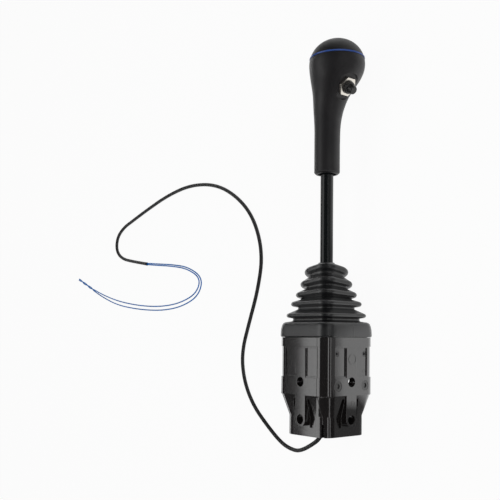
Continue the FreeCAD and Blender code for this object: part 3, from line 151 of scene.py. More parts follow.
class Signal:
    """A number that varies over a surface."""

    def __init__(self, bench, socket):
        self.bench = bench
        self.socket = socket

    def sum(self, operation, *terms):
        """One Math node on these terms."""
        return self.bench.node("Math", {"operation": operation}, dict(enumerate(terms)))

    def __add__(self, other):
        return self.sum("ADD", self, other)

    def __radd__(self, other):
        return self.sum("ADD", other, self)

    def __sub__(self, other):
        return self.sum("SUBTRACT", self, other)

    def __rsub__(self, other):
        return self.sum("SUBTRACT", other, self)

    def __mul__(self, other):
        return self.sum("MULTIPLY", self, other)

    def __rmul__(self, other):
        return self.sum("MULTIPLY", other, self)

    def __truediv__(self, other):
        return self.sum("DIVIDE", self, other)

    def __mod__(self, other):
        return self.sum("FLOORED_MODULO", self, other)

    def __abs__(self):
        return self.sum("ABSOLUTE", self)

    def floor(self):
        return self.sum("FLOOR", self)


# %% The workbench


class Workbench:
    """A node tree under construction."""

    def __init__(self, tree):
        self.tree = tree

    def node(self, kind, settings=None, sockets=None, out=0):
        """A node of this kind, with its settings, then its sockets; the signal is its output out."""
        type_name = next(prefix + kind for prefix in KINDS if hasattr(bpy.types, prefix + kind))
        made = self.tree.nodes.new(type_name)
        for name, setting in (settings or {}).items():
            setattr(made, name, setting)
        for name, given in (sockets or {}).items():
            if isinstance(given, Signal):
                self.tree.links.new(given.socket, made.inputs[name])
            else:
                made.inputs[name].default_value = given
        return Signal(self, made.outputs[out])

    def ramp(self, signal, low, high, start=0.0, end=1.0):
        """The signal between low and high, carried to start and end."""
        return self.node("MapRange", {"clamp": True}, {0: signal, 1: low, 2: high, 3: start, 4: end})


# %% [markdown]
# A finish
#
# Every finish on the joystick is one Principled shader. What is the same all over is set on its own
# socket, and what changes over the surface is fed to colour, roughness or the bump. Patterns read
# Object coordinates, which are in metres here, so the size of a grain is written as its real size.

# %% Finishes


def grey(level):
    return (level, level, level, 1.0)


class Finish(Workbench):
    """A material with one Principled shader."""

    def __init__(self, name, roughness=0.5, metallic=0.0, coat=0.0, coat_roughness=0.05, ior=1.5,
                 coat_ior=1.5):
        self.material = bpy.data.materials.new(name)
        self.material.use_nodes = True
        super().__init__(self.material.node_tree)
        self.tree.nodes.clear()
        self.shader = self.tree.nodes.new("ShaderNodeBsdfPrincipled")
        self.shader.inputs["Roughness"].default_value = roughness
        self.shader.inputs["Metallic"].default_value = metallic
        self.shader.inputs["Coat Weight"].default_value = coat
        self.shader.inputs["Coat Roughness"].default_value = coat_roughness
        self.shader.inputs["IOR"].default_value = ior
        self.shader.inputs["Coat IOR"].default_value = coat_ior
        end = self.tree.nodes.new("ShaderNodeOutputMaterial")
        self.tree.links.new(self.shader.outputs[0], end.inputs["Surface"])

    def place(self, stretch=(1, 1, 1), turn=(0, 0, 0)):
        """Object coordinates in metres, stretched and turned where the pattern needs it."""
        where = self.node("TexCoord", out="Object")
        if stretch == (1, 1, 1) and turn == (0, 0, 0):
            return where
        return self.node("Mapping", {}, {"Vector": where, "Scale": stretch, "Rotation": turn})

    def noise(self, size, detail=3.0, at=None):
        """Clouds whose blotches are about this many metres wide, from 0 to 1."""
        sockets = {"Vector": at or self.place(), "Scale": 1.0 / size, "Detail": detail}
        return self.node("TexNoise", {}, sockets)

    def cells(self, size):
        """Round cells about this many metres wide, from 0 at their middles."""
        return self.node("TexVoronoi", {"feature": "F1"}, {"Vector": self.place(), "Scale": 1.0 / size})

    def read(self, name):
        """A number that the mesh carries at its vertices."""
        return self.node("Attribute", {"attribute_name": name}, out="Fac")

    def colour(self, share, first, second):
        """Two colours blended by a share."""
        return self.node("Mix", {"data_type": "RGBA"}, {0: share, 6: first, 7: second}, out=2)

    def feed(self, name, signal):
        self.tree.links.new(signal.socket, self.shader.inputs[name])

    def bump(self, height, strength, distance):
        normal = self.node("Bump", {}, {"Strength": strength, "Distance": distance, "Height": height})
        self.feed("Normal", normal)


FINISHES = {}

# %% [markdown]
# The bench
#
# The object stands against white without an edge. The bench shows white to the camera and to glossy
# surfaces, so that black plastic has something pale to mirror, and it still takes a faint shadow.
# A bench that was white all over would make the lid as flat as paper. So the mirrored bench is dimmer
# in three places, and their soft edges show on the lid: far out in front, from the foot outwards, and
# beside the boot. Each is a ramp: its two ends in metres, and how bright its dim side is. The ends of
# the last one count from the boot's middle.

# %% The bench's white
BENCH_GLOW = 0.94
DIM_IN_FRONT = (-0.090, -0.074, 0.22)
DIM_FROM_FOOT = (-0.012, -0.003, 0.15)
BESIDE_BOOT = 0.115
DIM_BESIDE_BOOT = (0.03, 0.05, 0.6)

bench = Finish("bench_white", roughness=0.9)
bench.shader.inputs["Base Color"].default_value = grey(0.85)
rays = bench.tree.nodes.new("ShaderNodeLightPath")
seen = Signal(bench, rays.outputs["Is Camera Ray"])
mirrored = Signal(bench, rays.outputs["Is Glossy Ray"])
through = Signal(bench, rays.outputs["Is Transmission Ray"])
spot = bench.node("SeparateXYZ", {}, {0: bench.place()}).socket.node.outputs
along, out = Signal(bench, spot[0]), Signal(bench, spot[1])
beside = bench.ramp(out, *DIM_IN_FRONT) * bench.ramp(along, *DIM_FROM_FOOT)
beside = beside * bench.ramp(abs(along - BESIDE_BOOT), *DIM_BESIDE_BOOT)
glow = bench.node("Emission", {}, {"Color": grey(1.0), "Strength": 1 - mirrored * (1 - beside)})
glowing = BENCH_GLOW * seen + mirrored + through
share = bench.node("Math", {"operation": "MINIMUM"}, {0: glowing, 1: 1.0})
blend = bench.tree.nodes.new("ShaderNodeMixShader")
bench.tree.links.new(share.socket, blend.inputs[0])
bench.tree.links.new(bench.shader.outputs[0], blend.inputs[1])
bench.tree.links.new(glow.socket, blend.inputs[2])
bench.tree.links.new(blend.outputs[0], bench.tree.nodes["Material Output"].inputs["Surface"])
print("bench white:", len(bench.tree.nodes), "nodes")

# %% The bench
BENCH_HALF = 6.0
BENCH_DROP = 0.0003
floor_mesh = bpy.data.meshes.new("bench")
floor_shape = bmesh.new()
bmesh.ops.create_grid(floor_shape, x_segments=1, y_segments=1, size=BENCH_HALF)
floor_shape.to_mesh(floor_mesh)
floor_shape.free()
floor = link(bpy.data.objects.new("bench", floor_mesh))
floor.location.z = -BENCH_DROP
floor.data.materials.append(bench.material)
print("bench:", 2 * BENCH_HALF, "m wide")

# %% [markdown]
# The lights
#
# Black gloss is lit by what it mirrors. Two large soft panels stand on the left, beside the lever and
# behind it, and the gaps round them leave the dark bands that run down its rounded corners. A narrow
# panel a little to the right of the camera draws the thin streak on the near corner. The panel at the
# camera itself only lights the object and isn't mirrored, as a photographer hides a fill light.

# %% The lights
PANEL_HEIGHT = 170.0


def soft_panel(name, bearing, distance, size, radiance, mirrored=True):
    """A panel seen from the lever at an angle about its length: 0 is the camera, 90 the right hand."""
    lamp = bpy.data.lights.new(name, "AREA")
    lamp.shape = "RECTANGLE"
    lamp.size, lamp.size_y = size
    lamp.energy = radiance * math.pi * size[0] * size[1]
    holder = link(bpy.data.objects.new(name, lamp))
    outward = math.cos(math.radians(bearing)) * -inward + math.sin(math.radians(bearing)) * sideways
    axes = Matrix((upward, outward.cross(upward), outward)).transposed()
    middle = lying(0, 0, PANEL_HEIGHT) + outward * distance
    holder.matrix_world = Matrix.Translation(middle) @ axes.to_4x4()
    holder.visible_glossy = mirrored
    print(name, "at", bearing, "degrees,", size, "m")


soft_panel("side_panel", -71.6, 1.3, (2.0, 0.9), 1.25)
soft_panel("rim_panel", -143.0, 1.3, (2.0, 0.8), 1.2)
soft_panel("edge_strip", 21.0, 1.2, (1.8, 0.16), 1.1)
soft_panel("camera_fill", 0.0, 1.6, (1.6, 1.6), 1.9, mirrored=False)

# %% [markdown]
# The backdrop
#
# The world behind the bench is white for the camera, and for rays that pass through something. For
# mirrored rays only its lowest part is white, just above the horizon, so that the bench seems to
# go on and the panels keep their dark gaps. For every other ray it is nearly black, and the panels
# alone light the object.

# %% The backdrop
HORIZON_BAND = (0.04, 0.16)
DIM_ROOM = 0.045

world = bpy.data.worlds.new("studio")
bpy.context.scene.world = world
world.use_nodes = True
room = Workbench(world.node_tree)
paths = world.node_tree.nodes.new("ShaderNodeLightPath").outputs
by_eye = Signal(room, paths["Is Camera Ray"]) + Signal(room, paths["Is Transmission Ray"])
facing = room.node("SeparateXYZ", {}, {0: room.node("TexCoord", out="Generated")}).socket.node.outputs
low_part = room.ramp(Signal(room, facing[2]), *HORIZON_BAND, 1.0, 0.0)
by_mirror = Signal(room, paths["Is Glossy Ray"]) * low_part
pale = room.node("Math", {"operation": "MAXIMUM"}, {0: by_eye, 1: by_mirror})
surround = world.node_tree.nodes["Background"]
surround.inputs["Color"].default_value = grey(1.0)
strength = room.ramp(pale, 0.0, 1.0, DIM_ROOM, 1.0)
world.node_tree.links.new(strength.socket, surround.inputs["Strength"])
bpy.context.scene.view_settings.view_transform = "Standard"

# %% [markdown]
# The lead's route
#
# A cord is a fixed length of something flexible. It leaves the housing's foot, drops to the bench, lies
# in the loose S that the photograph shows and ends in two wires that bend back on themselves. A NURBS
# spline rounds the route's corners by itself, so the route needs only a few points. The tube is
# then swept along the spline's own line, so that the weave can follow its length.

# %% The line of a route
LINE_STEPS = 14


def smooth_line(name, route):
    """The line of a quadratic NURBS spline with the route's points as its control points."""
    curve = bpy.data.curves.new(name, "CURVE")
    curve.dimensions = "3D"
    curve.resolution_u = LINE_STEPS
    spline = curve.splines.new("NURBS")
    spline.points.add(len(route) - 1)
    for point, spot in zip(spline.points, route):
        point.co = (spot[0] * MM, spot[1] * MM, spot[2] * MM, 1.0)
    spline.order_u = 3
    spline.use_endpoint_u = True
    holder = link(bpy.data.objects.new(name, curve))
    line = bpy.data.meshes.new_from_object(holder)
    spots = [vertex.co.copy() for vertex in line.vertices]
    bpy.data.objects.remove(holder)
    bpy.data.meshes.remove(line)
    print(name, len(spots), "spots from", len(route), "points")
    return spots


# %% A tube along a line


def frames_along(spots):
    """A direction and an unturning side for each spot of a line."""
    along = []
    for before, after in zip([spots[0]] + spots[:-1], spots[1:] + [spots[-1]]):
        along.append((after - before).normalized())
    side = along[0].cross(Vector((0, 0, 1)))
    if side.length < 0.1:
        side = along[0].cross(Vector((0, 1, 0)))
    sides = []
    for direction in along:
        side = (side - direction * side.dot(direction)).normalized()
        sides.append(side.copy())
    return along, sides


def tube(name, spots, radius_at, count=16):
    """A closed tube along spots, with a UV map in metres: round the tube, and along it."""
    along, sides = frames_along(spots)
    shape = bmesh.new()
    uv = shape.loops.layers.uv.new("along")
    rings = []
    travelled = [0.0]
    for before, after in zip(spots, spots[1:]):
        travelled.append(travelled[-1] + (after - before).length)
    for spot, direction, side, far in zip(spots, along, sides, travelled):
        up = direction.cross(side)
        radius = radius_at(far, travelled[-1])
        ring = []
        for number in range(count):
            angle = 2 * math.pi * number / count
            outwards = side * math.cos(angle) + up * math.sin(angle)
            ring.append(shape.verts.new(spot + outwards * radius))
        rings.append(ring)
    girth = 2 * math.pi * radius_at(travelled[-1] / 2, travelled[-1])
    for row, (low, high) in enumerate(zip(rings, rings[1:])):
        for number in range(count):
            following = (number + 1) % count
            face = shape.faces.new((low[number], low[following], high[following], high[number]))
            face.smooth = True
            places = ((number, row), (number + 1, row), (number + 1, row + 1), (number, row + 1))
            for loop, (round_step, along_step) in zip(face.loops, places):
                loop[uv].uv = (girth * round_step / count, travelled[along_step])
    for ring, spot in ((rings[0], spots[0]), (rings[-1], spots[-1])):
        centre = shape.verts.new(spot)
        for number in range(count):
            cap = shape.faces.new((centre, ring[(number + 1) % count], ring[number]))
            cap.material_index = 1
    bmesh.ops.recalc_face_normals(shape, faces=shape.faces)
    mesh = bpy.data.meshes.new(name)
    shape.to_mesh(mesh)
    shape.free()
    print(name, round(travelled[-1] / MM), "mm long")
    return link(bpy.data.objects.new(name, mesh))


# %% The sleeve
SLEEVE_ROUTE = [
    (-8.7, 0, 33), (-24, 0, 33), (-38, 8, 32), (-47, 26, 27), (-55, 50, 16), (-59, 72, 5),
    (-55, 94, 2), (-39, 117, 2), (-17, 143, 2), (10, 159, 2), (40, 163, 2), (74, 150, 2),
    (108, 136, 2), (146, 128, 2), (184, 141, 2), (212, 168, 2), (234, 210, 2), (241, 262, 2),
    (235, 312, 2), (222, 362, 2), (212, 396, 2), (205, 420, 2), (193, 437, 2), (175, 439, 2),
    (163, 424, 2), (157, 394, 2), (151.7, 360, 2),
]
SLEEVE_RADIUS = 2.0
FRAYED = 0.002
FLARE = 0.07


def sleeve_radius(far, total):
    """The sleeve opens a little over its last two millimetres, where it is cut."""
    return SLEEVE_RADIUS * MM * (1 + FLARE * max(0.0, 1 - (total - far) / FRAYED))


sleeve_line = smooth_line("sleeve_line", SLEEVE_ROUTE)
sleeve = tube("lead_sleeve", sleeve_line, sleeve_radius)
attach(sleeve, "housing")
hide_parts("lead_sheath")

# %% [markdown]
# Two wires and a twist
#
# The two wires lie side by side and are twisted round each other at their ends, as an electrician leaves
# a pair so that it can't get lost. The twist is a helix of the wires' own spline, one half turn for each
# of the three lobes in the photograph.

# %% The two wires
WIRE_RADIUS = 0.75
INNER_ROUTE = [
    (150.9, 360, 2), (148.6, 338, 0.75), (145.6, 306, 0.75), (140.2, 271, 0.75), (127, 243, 0.75),
    (109, 252, 0.75), (99, 285, 0.75), (95.5, 322, 0.75), (96.5, 362, 0.75), (100.5, 402, 0.75),
    (106.5, 440, 0.75), (115.5, 477, 0.75),
]
OUTER_ROUTE = [
    (152.5, 359.75, 2), (150.2, 336, 0.75), (147.2, 303, 0.75), (141.8, 268, 0.75), (127, 238.5, 0.75),
    (106, 247.5, 0.75), (94.5, 281, 0.75), (90.5, 320, 0.75), (91.5, 360, 0.75), (95, 400, 0.75),
    (101, 440, 0.75), (112.5, 478.5, 0.75),
]
TWIST_START = Vector((123.0, 502.0, 1.6))
TWIST_END = Vector((141.0, 548.0, 1.6))
TWIST_RADIUS = 0.85
HALF_TURNS = 3
STEPS_PER_HALF = 6


def twisted_end(phase):
    """Points of a helix round the line between the twist's start and end."""
    direction = (TWIST_END - TWIST_START).normalized()
    across = direction.cross(Vector((0, 0, 1)))
    points = []
    for step in range(HALF_TURNS * STEPS_PER_HALF + 1):
        turn = phase + math.pi * step / STEPS_PER_HALF
        middle_spot = TWIST_START.lerp(TWIST_END, step / (HALF_TURNS * STEPS_PER_HALF))
        reach = across * math.cos(turn) + Vector((0, 0, math.sin(turn)))
        points.append(middle_spot + TWIST_RADIUS * reach)
    return [tuple(point) for point in points]


wires = []
for label, route, phase, length in (
    ("inner", INNER_ROUTE, 0.0, 0.440), ("outer", OUTER_ROUTE, math.pi, 0.463)
):
    wire_line = smooth_line(f"{label}_line", route + twisted_end(phase))
    wire = tube(f"lead_wire_{label}_skin", wire_line, lambda far, total: WIRE_RADIUS * MM, 10)
    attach(wire, "housing")
    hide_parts(f"lead_wire_{label}")
    wires.append(wire)

# %% [markdown]
# The bellows
#
# A moulded rubber boot closes the housing and lets the lever lean. It could be modelled by hand, but it
# follows a rule: every level is a square with round corners, and only its size, height and tilt change.
# So a Geometry Nodes tree sweeps one rounded square through a list of levels. Each level is a vertex
# that carries four numbers, and the tree lays a grid with one row for each level and bends every
# row round its square. The boot crosses two hinges, so it is made in two pieces that meet at a neck.

# %% The rule that sweeps a rounded square
QUARTER_STEPS = 12


def sweep_rule():
    """A tree that turns level vertices into a closed shell of rounded squares."""
    tree = bpy.data.node_groups.new("rounded_square_sweep", "GeometryNodeTree")
    for name, kind in (
        ("Levels", "Geometry"), ("Steps", "Int"), ("Setback", "Float"), ("Finish", "Material"),
    ):
        tree.interface.new_socket(name=name, in_out="INPUT", socket_type="NodeSocket" + kind)
    tree.interface.new_socket(name="Shell", in_out="OUTPUT", socket_type="NodeSocketGeometry")
    work = Workbench(tree)
    entry = tree.nodes.new("NodeGroupInput")
    levels, steps, setback, finish = (Signal(work, socket) for socket in list(entry.outputs)[:4])
    level_count = work.node("AttributeDomainSize", {"component": "MESH"}, {"Geometry": levels})
    columns = 8 * steps
    grid = work.node(
        "MeshGrid", {},
        {"Size X": 1.0, "Size Y": 1.0, "Vertices X": level_count + 1, "Vertices Y": columns + 1},
    )
    index = work.node("InputIndex")
    row = (index / (columns + 1)).floor()
    column = index % (columns + 1)
    for name, signal in (("row", row), ("column", column / columns)):
        grid = work.node(
            "StoreNamedAttribute", {"data_type": "FLOAT", "domain": "POINT"},
            {"Geometry": grid, "Name": name, "Value": signal},
        )

    def level(name):
        carried = work.node("InputNamedAttribute", {"data_type": "FLOAT"}, {"Name": name})
        return work.node(
            "SampleIndex", {"data_type": "FLOAT", "domain": "POINT"},
            {"Geometry": levels, "Value": carried, "Index": row % level_count},
        )

    flat, corner, height, rise = (level(name) for name in ("flat", "corner", "height", "rise"))
    place = column % columns
    quarter = (place / (2 * steps)).floor()
    step = place % (2 * steps)
    straight = work.node("Math", {"operation": "GREATER_THAN"}, {0: step, 1: steps - 0.5})
    part = (step % steps) / steps
    angle = math.pi / 2 * (part + straight * (1 - part))
    across = flat * (1 - 2 * part * straight) + corner * angle.sum("COSINE", angle)
    away = flat + corner * angle.sum("SINE", angle)
    turn = quarter * (math.pi / 2)
    cosine, sine = turn.sum("COSINE", turn), turn.sum("SINE", turn)
    x = across * cosine - away * sine
    y = across * sine + away * cosine
    up = height - rise * (x + y)
    spot = work.node("CombineXYZ", {}, {0: (up - setback) * MM, 1: y * MM, 2: (HALF_WIDTH - x) * MM})
    bent = work.node("SetPosition", {}, {"Geometry": grid, "Position": spot})
    around = work.node("InputNamedAttribute", {"data_type": "FLOAT"}, {"Name": "column"})
    level_row = work.node("InputNamedAttribute", {"data_type": "FLOAT"}, {"Name": "row"})
    pair = work.node("CombineXYZ", {}, {0: around, 1: level_row})
    mapped = work.node(
        "StoreNamedAttribute", {"data_type": "FLOAT2", "domain": "CORNER"},
        {"Geometry": bent, "Name": "along", "Value": pair},
    )
    closed = work.node("MergeByDistance", {}, {"Geometry": mapped, "Distance": 1e-6})
    smooth = work.node("SetShadeSmooth", {}, {"Geometry": closed, "Shade Smooth": True})
    real = work.node("RealizeInstances", {}, {"Geometry": smooth})
    painted = work.node("SetMaterial", {}, {"Geometry": real, "Material": finish})
    end = tree.nodes.new("NodeGroupOutput")
    tree.links.new(painted.socket, end.inputs[0])
    return tree


SWEEP = sweep_rule()
print("sweep rule:", len(SWEEP.nodes), "nodes")

# %% From levels to a mesh


def level_of(height, half, corner, slope=0.0):
    """One level: half its width, its corner radius, and its tilt up to the near corner in degrees."""
    return {
        "height": height, "flat": half - corner, "corner": corner,
        "rise": math.tan(math.radians(slope)) / math.sqrt(2),
    }


def set_inputs(modifier, **settings):
    """Sets a tree's named inputs by the sockets' identifiers."""
    for socket in modifier.node_group.interface.items_tree:
        if socket.name in settings:
            modifier[socket.identifier] = settings[socket.name]


def made_by(holder):
    """The plain mesh that an object's modifiers make, with its faces outwards."""
    mesh = bpy.data.meshes.new_from_object(holder.evaluated_get(bpy.context.evaluated_depsgraph_get()))
    shape = bmesh.new()
    shape.from_mesh(mesh)
    bmesh.ops.recalc_face_normals(shape, faces=shape.faces)
    shape.to_mesh(mesh)
    shape.free()
    return mesh


def sweep_levels(name, levels, material):
    """A shell swept through the levels, as an object with a plain mesh."""
    points = bpy.data.meshes.new(name + "_levels")
    points.from_pydata([(0, 0, number * MM) for number in range(len(levels))], [], [])
    for key in levels[0]:
        values = [level[key] for level in levels]
        points.attributes.new(key, "FLOAT", "POINT").data.foreach_set("value", values)
    holder = link(bpy.data.objects.new(name + "_levels", points))
    modifier = holder.modifiers.new("sweep", "NODES")
    modifier.node_group = SWEEP
    set_inputs(modifier, Steps=QUARTER_STEPS, Setback=FOOT_SETBACK, Finish=material)
    bpy.context.view_layer.update()
    mesh = made_by(holder)
    mesh.name = name
    bpy.data.objects.remove(holder)
    print(name, len(mesh.polygons), "faces from", len(levels), "levels")
    return link(bpy.data.objects.new(name, mesh))


# %% [markdown]
# Rubber
#
# The boot is soft rubber with a dull gloss. A faint grey bloom lies on it in clouds, fine pits break its
# sheen, and a fine raised line runs up the lid's side, where the two halves of the mould met. That line
# follows the folds, so it reads the boot's own UV map, where the sweep wrote each column and level.

# %% The rubber finish
rubber = Finish("boot_rubber", roughness=0.4, coat=0.6, coat_roughness=0.3, ior=1.6, coat_ior=1.6)
FINISHES["boot_rubber"] = rubber
way_round = rubber.node("SeparateXYZ", {}, {0: rubber.node("UVMap", {"uv_map": "along"})})
FLASH_COLUMN = 0.695
FLASH_HALF = 0.0011
flash = rubber.ramp(abs(way_round - FLASH_COLUMN), FLASH_HALF * 0.6, FLASH_HALF * 1.4, 1.0, 0.0)
bloom = rubber.ramp(rubber.noise(0.018, 4.0), 0.48, 0.72)
pits = rubber.noise(0.0004, 2.0)
tone = rubber.colour(bloom, (0.006, 0.0063, 0.007, 1), (0.011, 0.0115, 0.0125, 1))
tone = rubber.colour(flash, tone, (0.003, 0.003, 0.003, 1))
rubber.feed("Base Color", tone)
rubber.feed("Roughness", 0.30 + 0.14 * bloom + 0.08 * pits)
rubber.bump(pits * 0.25 + flash * 1.0, 0.6, 0.00025)
print("rubber:", len(rubber.tree.nodes), "nodes")

# %% [markdown]
# The folds
#
# Five round lips stick out over narrower necks, and each is smaller than the one below. They tilt up
# towards the near corner, the higher ones more, as the photograph shows. One long profile could hold
# them all, but a list of lips and necks is easier to correct: a lip is an arc, and a neck two levels.

# %% The sizes of the folds
# Each fold: height of its lip, half width, corner radius, lip radius, slope in degrees.
FOLDS = [
    (110.2, 28.8, 9.1, 2.1, 0.0),
    (120.9, 26.1, 9.9, 2.4, 1.0),
    (129.4, 23.2, 10.8, 2.6, 5.0),
    (139.2, 20.5, 11.7, 2.9, 10.0),
    (150.6, 18.0, 12.5, 3.3, 14.0),
]
# Each neck below a fold: height, half width, corner radius, slope.
NECKS = [
    (106.7, 24.4, 8.6, 0.0),
    (117.0, 21.3, 9.2, 0.5),
    (126.0, 19.7, 9.9, 3.0),
    (135.8, 16.6, 10.6, 7.5),
    (146.4, 14.8, 11.0, 12.0),
]
# Each level of the skirt outside, and then inside: height, half width, corner radius.
SKIRT = [
    (90.3, 32.2, 10.3), (90.8, 32.8, 10.4), (91.6, 33.0, 10.4), (96.5, 32.8, 10.4), (100.0, 32.3, 10.3),
    (102.2, 31.6, 10.0), (103.4, 30.7, 9.6), (104.1, 29.4, 9.2), (104.4, 27.4, 8.9), (104.9, 25.0, 8.7),
]
SKIRT_INSIDE = [(102.4, 24.0, 8.0), (98.2, 27.5, 7.5), (98.0, 30.3, 9.8), (90.3, 30.3, 9.8)]
# Each level of the collar round the rod, up outside and down inside: height, half width, slope.
COLLAR = [
    (156.2, 10.4, 12.0), (157.0, 8.6, 9.0), (158.0, 7.6, 3.0), (159.3, 7.5, 0.0), (159.6, 7.2, 0.0),
    (159.6, 6.2, 0.0), (156.0, 6.2, 0.0), (154.6, 9.0, 9.0),
]
NECK_RISE = 0.9
WALL = 1.5
LIP_WALL = 0.4
NEARLY_ROUND = 0.1
CORNER_SHARE = 0.5
SPLIT = 2
LIP_DEGREES = (-78, -52, -26, 0, 26, 52, 70)
print("boot:", len(FOLDS), "folds, split at", NECKS[SPLIT][0], "mm")

# %% Lips and necks


def lip(height, half, corner, radius, slope):
    """The levels of one round lip, from its lower edge to its upper edge."""
    levels = []
    for degrees in LIP_DEGREES:
        angle = math.radians(degrees)
        levels.append(level_of(
            height + radius * math.sin(angle), half - radius + radius * math.cos(angle),
            corner - radius * CORNER_SHARE + CORNER_SHARE * radius * math.cos(angle), slope,
        ))
    return levels


def lip_inside(height, half, corner, radius, slope):
    """The level of the inner wall behind a lip."""
    return level_of(height, half - radius - LIP_WALL, corner - radius * CORNER_SHARE, slope)


def neck(height, half, corner, slope):
    """The two levels of a neck."""
    return [level_of(height + rise, half, corner, slope) for rise in (-NECK_RISE, NECK_RISE)]


def neck_inside(height, half, corner, slope):
    """The level of the inner wall behind a neck."""
    return level_of(height, half - WALL, corner - WALL, slope)


def inside(folds, necks):
    """The inner levels, from the top down."""
    levels = []
    for fold, below in reversed(list(zip(folds, necks))):
        levels += [lip_inside(*fold), neck_inside(*below)]
    return levels


# %% The two halves of the boot
seam = level_of(*NECKS[SPLIT])
seam_inside = neck_inside(*NECKS[SPLIT])
under_seam, over_seam = neck(*NECKS[SPLIT])
lower_levels = [level_of(*row) for row in SKIRT]
for fold, below in zip(FOLDS[:SPLIT], NECKS[:SPLIT]):
    lower_levels += neck(*below) + lip(*fold)
lower_levels += [under_seam, seam, seam_inside] + inside(FOLDS[:SPLIT], NECKS[:SPLIT])
lower_levels += [level_of(*row) for row in SKIRT_INSIDE]
boot_lower = sweep_levels("boot_lower", lower_levels, rubber.material)

upper_levels = [seam, over_seam] + lip(*FOLDS[SPLIT])
for fold, below in zip(FOLDS[SPLIT + 1:], NECKS[SPLIT + 1:]):
    upper_levels += neck(*below) + lip(*fold)
upper_levels += [level_of(height, half, half - NEARLY_ROUND, slope) for height, half, slope in COLLAR]
upper_levels += inside(FOLDS[SPLIT + 1:], NECKS[SPLIT + 1:])
upper_levels += [lip_inside(*FOLDS[SPLIT]), seam_inside]
boot_upper = sweep_levels("boot_upper", upper_levels, rubber.material)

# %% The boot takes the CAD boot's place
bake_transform(boot_lower)
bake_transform(boot_upper)
for piece in (boot_lower, boot_upper):
    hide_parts("boot")

# %% [markdown]
# Moulded black plastic
#
# The housing is glass-filled nylon, semi-gloss and nearly black. Light shows its fine grain, the slow
# waves where the melt flowed, and the handling that polishes or greys its edges. The knob is the same
# family of plastic with a finer, more matte spark-eroded skin.

# %% Nylon and knob plastic


def rubbed_edges(finish, size):
    """How far an edge is worn: the rim attribute broken up by clouds."""
    return finish.read("rim") * finish.ramp(finish.noise(size, 4.0), 0.35, 0.65)


nylon = Finish("housing_nylon", roughness=0.2, coat=1.0, coat_roughness=0.07, ior=1.4, coat_ior=1.9)
FINISHES["housing_nylon"] = nylon
worn = rubbed_edges(nylon, 0.004)
flow = nylon.noise(0.012, 3.0, nylon.place((0.35, 1, 1)))
grain = nylon.noise(0.00035, 2.0)
fibre = nylon.noise(0.0008, 2.0, nylon.place((0.25, 1, 1), (0.3, 0.5, 0.2)))
tone = nylon.colour(nylon.ramp(flow, 0.3, 0.7), (0.006, 0.005, 0.005, 1), (0.010, 0.0085, 0.0085, 1))
nylon.feed("Base Color", nylon.colour(0.7 * worn, tone, (0.085, 0.083, 0.080, 1)))
nylon.feed("Roughness", 0.11 + 0.08 * flow + 0.04 * grain + 0.14 * worn)
nylon.bump(0.55 * grain + 0.35 * fibre + 2.2 * flow, 0.25, 0.00012)

knob = Finish("knob_plastic", roughness=0.5)
FINISHES["knob_plastic"] = knob
worn = rubbed_edges(knob, 0.003)
hand = knob.ramp(knob.noise(0.022, 3.0), 0.42, 0.68)
spark = knob.cells(0.00035)
tone = knob.colour(hand, (0.0085, 0.008, 0.009, 1), (0.013, 0.012, 0.013, 1))
knob.feed("Base Color", knob.colour(0.5 * worn, tone, (0.09, 0.088, 0.088, 1)))
knob.feed("Roughness", 0.47 - 0.09 * hand + 0.08 * spark)
knob.bump(spark + 0.4 * knob.noise(0.0012, 2.0), 0.35, 0.00012)
print("plastics:", len(nylon.tree.nodes) + len(knob.tree.nodes), "nodes")

# %% [markdown]
# Lacquer, blue trim and the switch
#
# The rod is steel under thick black gloss, smooth enough to mirror the panels as long streaks, with
# fine scratches along its length. The ring under the cap is deep blue plastic. The switch's nut is
# nickel, turned on a lathe, so its face carries rings about the switch's own axis.

# %% The rod and the blue ring
rod = Finish("black_rod", roughness=0.2, coat=0.22, coat_roughness=0.08, ior=1.4)
FINISHES["black_rod"] = rod
peel = rod.noise(0.0022, 2.0)
streaks = rod.ramp(rod.noise(0.0005, 3.0, rod.place((0.02, 1, 1))), 0.56, 0.7)
rod.feed("Base Color", rod.colour(peel, (0.003, 0.004, 0.0045, 1), (0.005, 0.006, 0.0065, 1)))
rod.feed("Roughness", 0.16 + 0.10 * streaks + 0.05 * peel)
rod.bump(peel + 0.3 * streaks, 0.12, 0.0001)

trim = Finish("blue_ring", roughness=0.35)
FINISHES["blue_ring"] = trim
clouds = trim.noise(0.005, 3.0)
trim.feed("Base Color", trim.colour(clouds, (0.022, 0.065, 0.28, 1), (0.036, 0.10, 0.38, 1)))
trim.feed("Roughness", 0.28 + 0.14 * clouds)
trim.bump(trim.noise(0.0006, 2.0), 0.2, 0.0001)
print("rod:", len(rod.tree.nodes), "nodes; ring:", len(trim.tree.nodes), "nodes")

# %% The switch's nut and its black plastic
BUTTON_SLOPE = 35.0
SEAT = (0.0, -24.2, 319.0)
TURNING_WAVES = 28000.0
slant = math.radians(BUTTON_SLOPE)
button_axis = Vector((math.sin(slant), -math.cos(slant), 0.0))
nickel = Finish("nickel_nut", roughness=0.25, metallic=1.0)
FINISHES["nickel_nut"] = nickel
seat_spot = tuple(lying(*SEAT))
local = nickel.node("VectorMath", {"operation": "SUBTRACT"}, {0: nickel.place(), 1: seat_spot})
outwards = nickel.node("VectorMath", {"operation": "CROSS_PRODUCT"}, {0: local, 1: tuple(button_axis)})
reach = nickel.node("VectorMath", {"operation": "LENGTH"}, {0: outwards}, out="Value")
turning_way = reach * TURNING_WAVES
turning = turning_way.sum("SINE", turning_way)
scuffs = nickel.noise(0.0018, 4.0)
nickel.feed("Base Color", nickel.colour(scuffs, (0.78, 0.73, 0.64, 1), (0.88, 0.85, 0.79, 1)))
nickel.feed("Roughness", 0.20 + 0.18 * scuffs)
nickel.bump(turning * 0.3 + scuffs, 0.15, 0.00006)

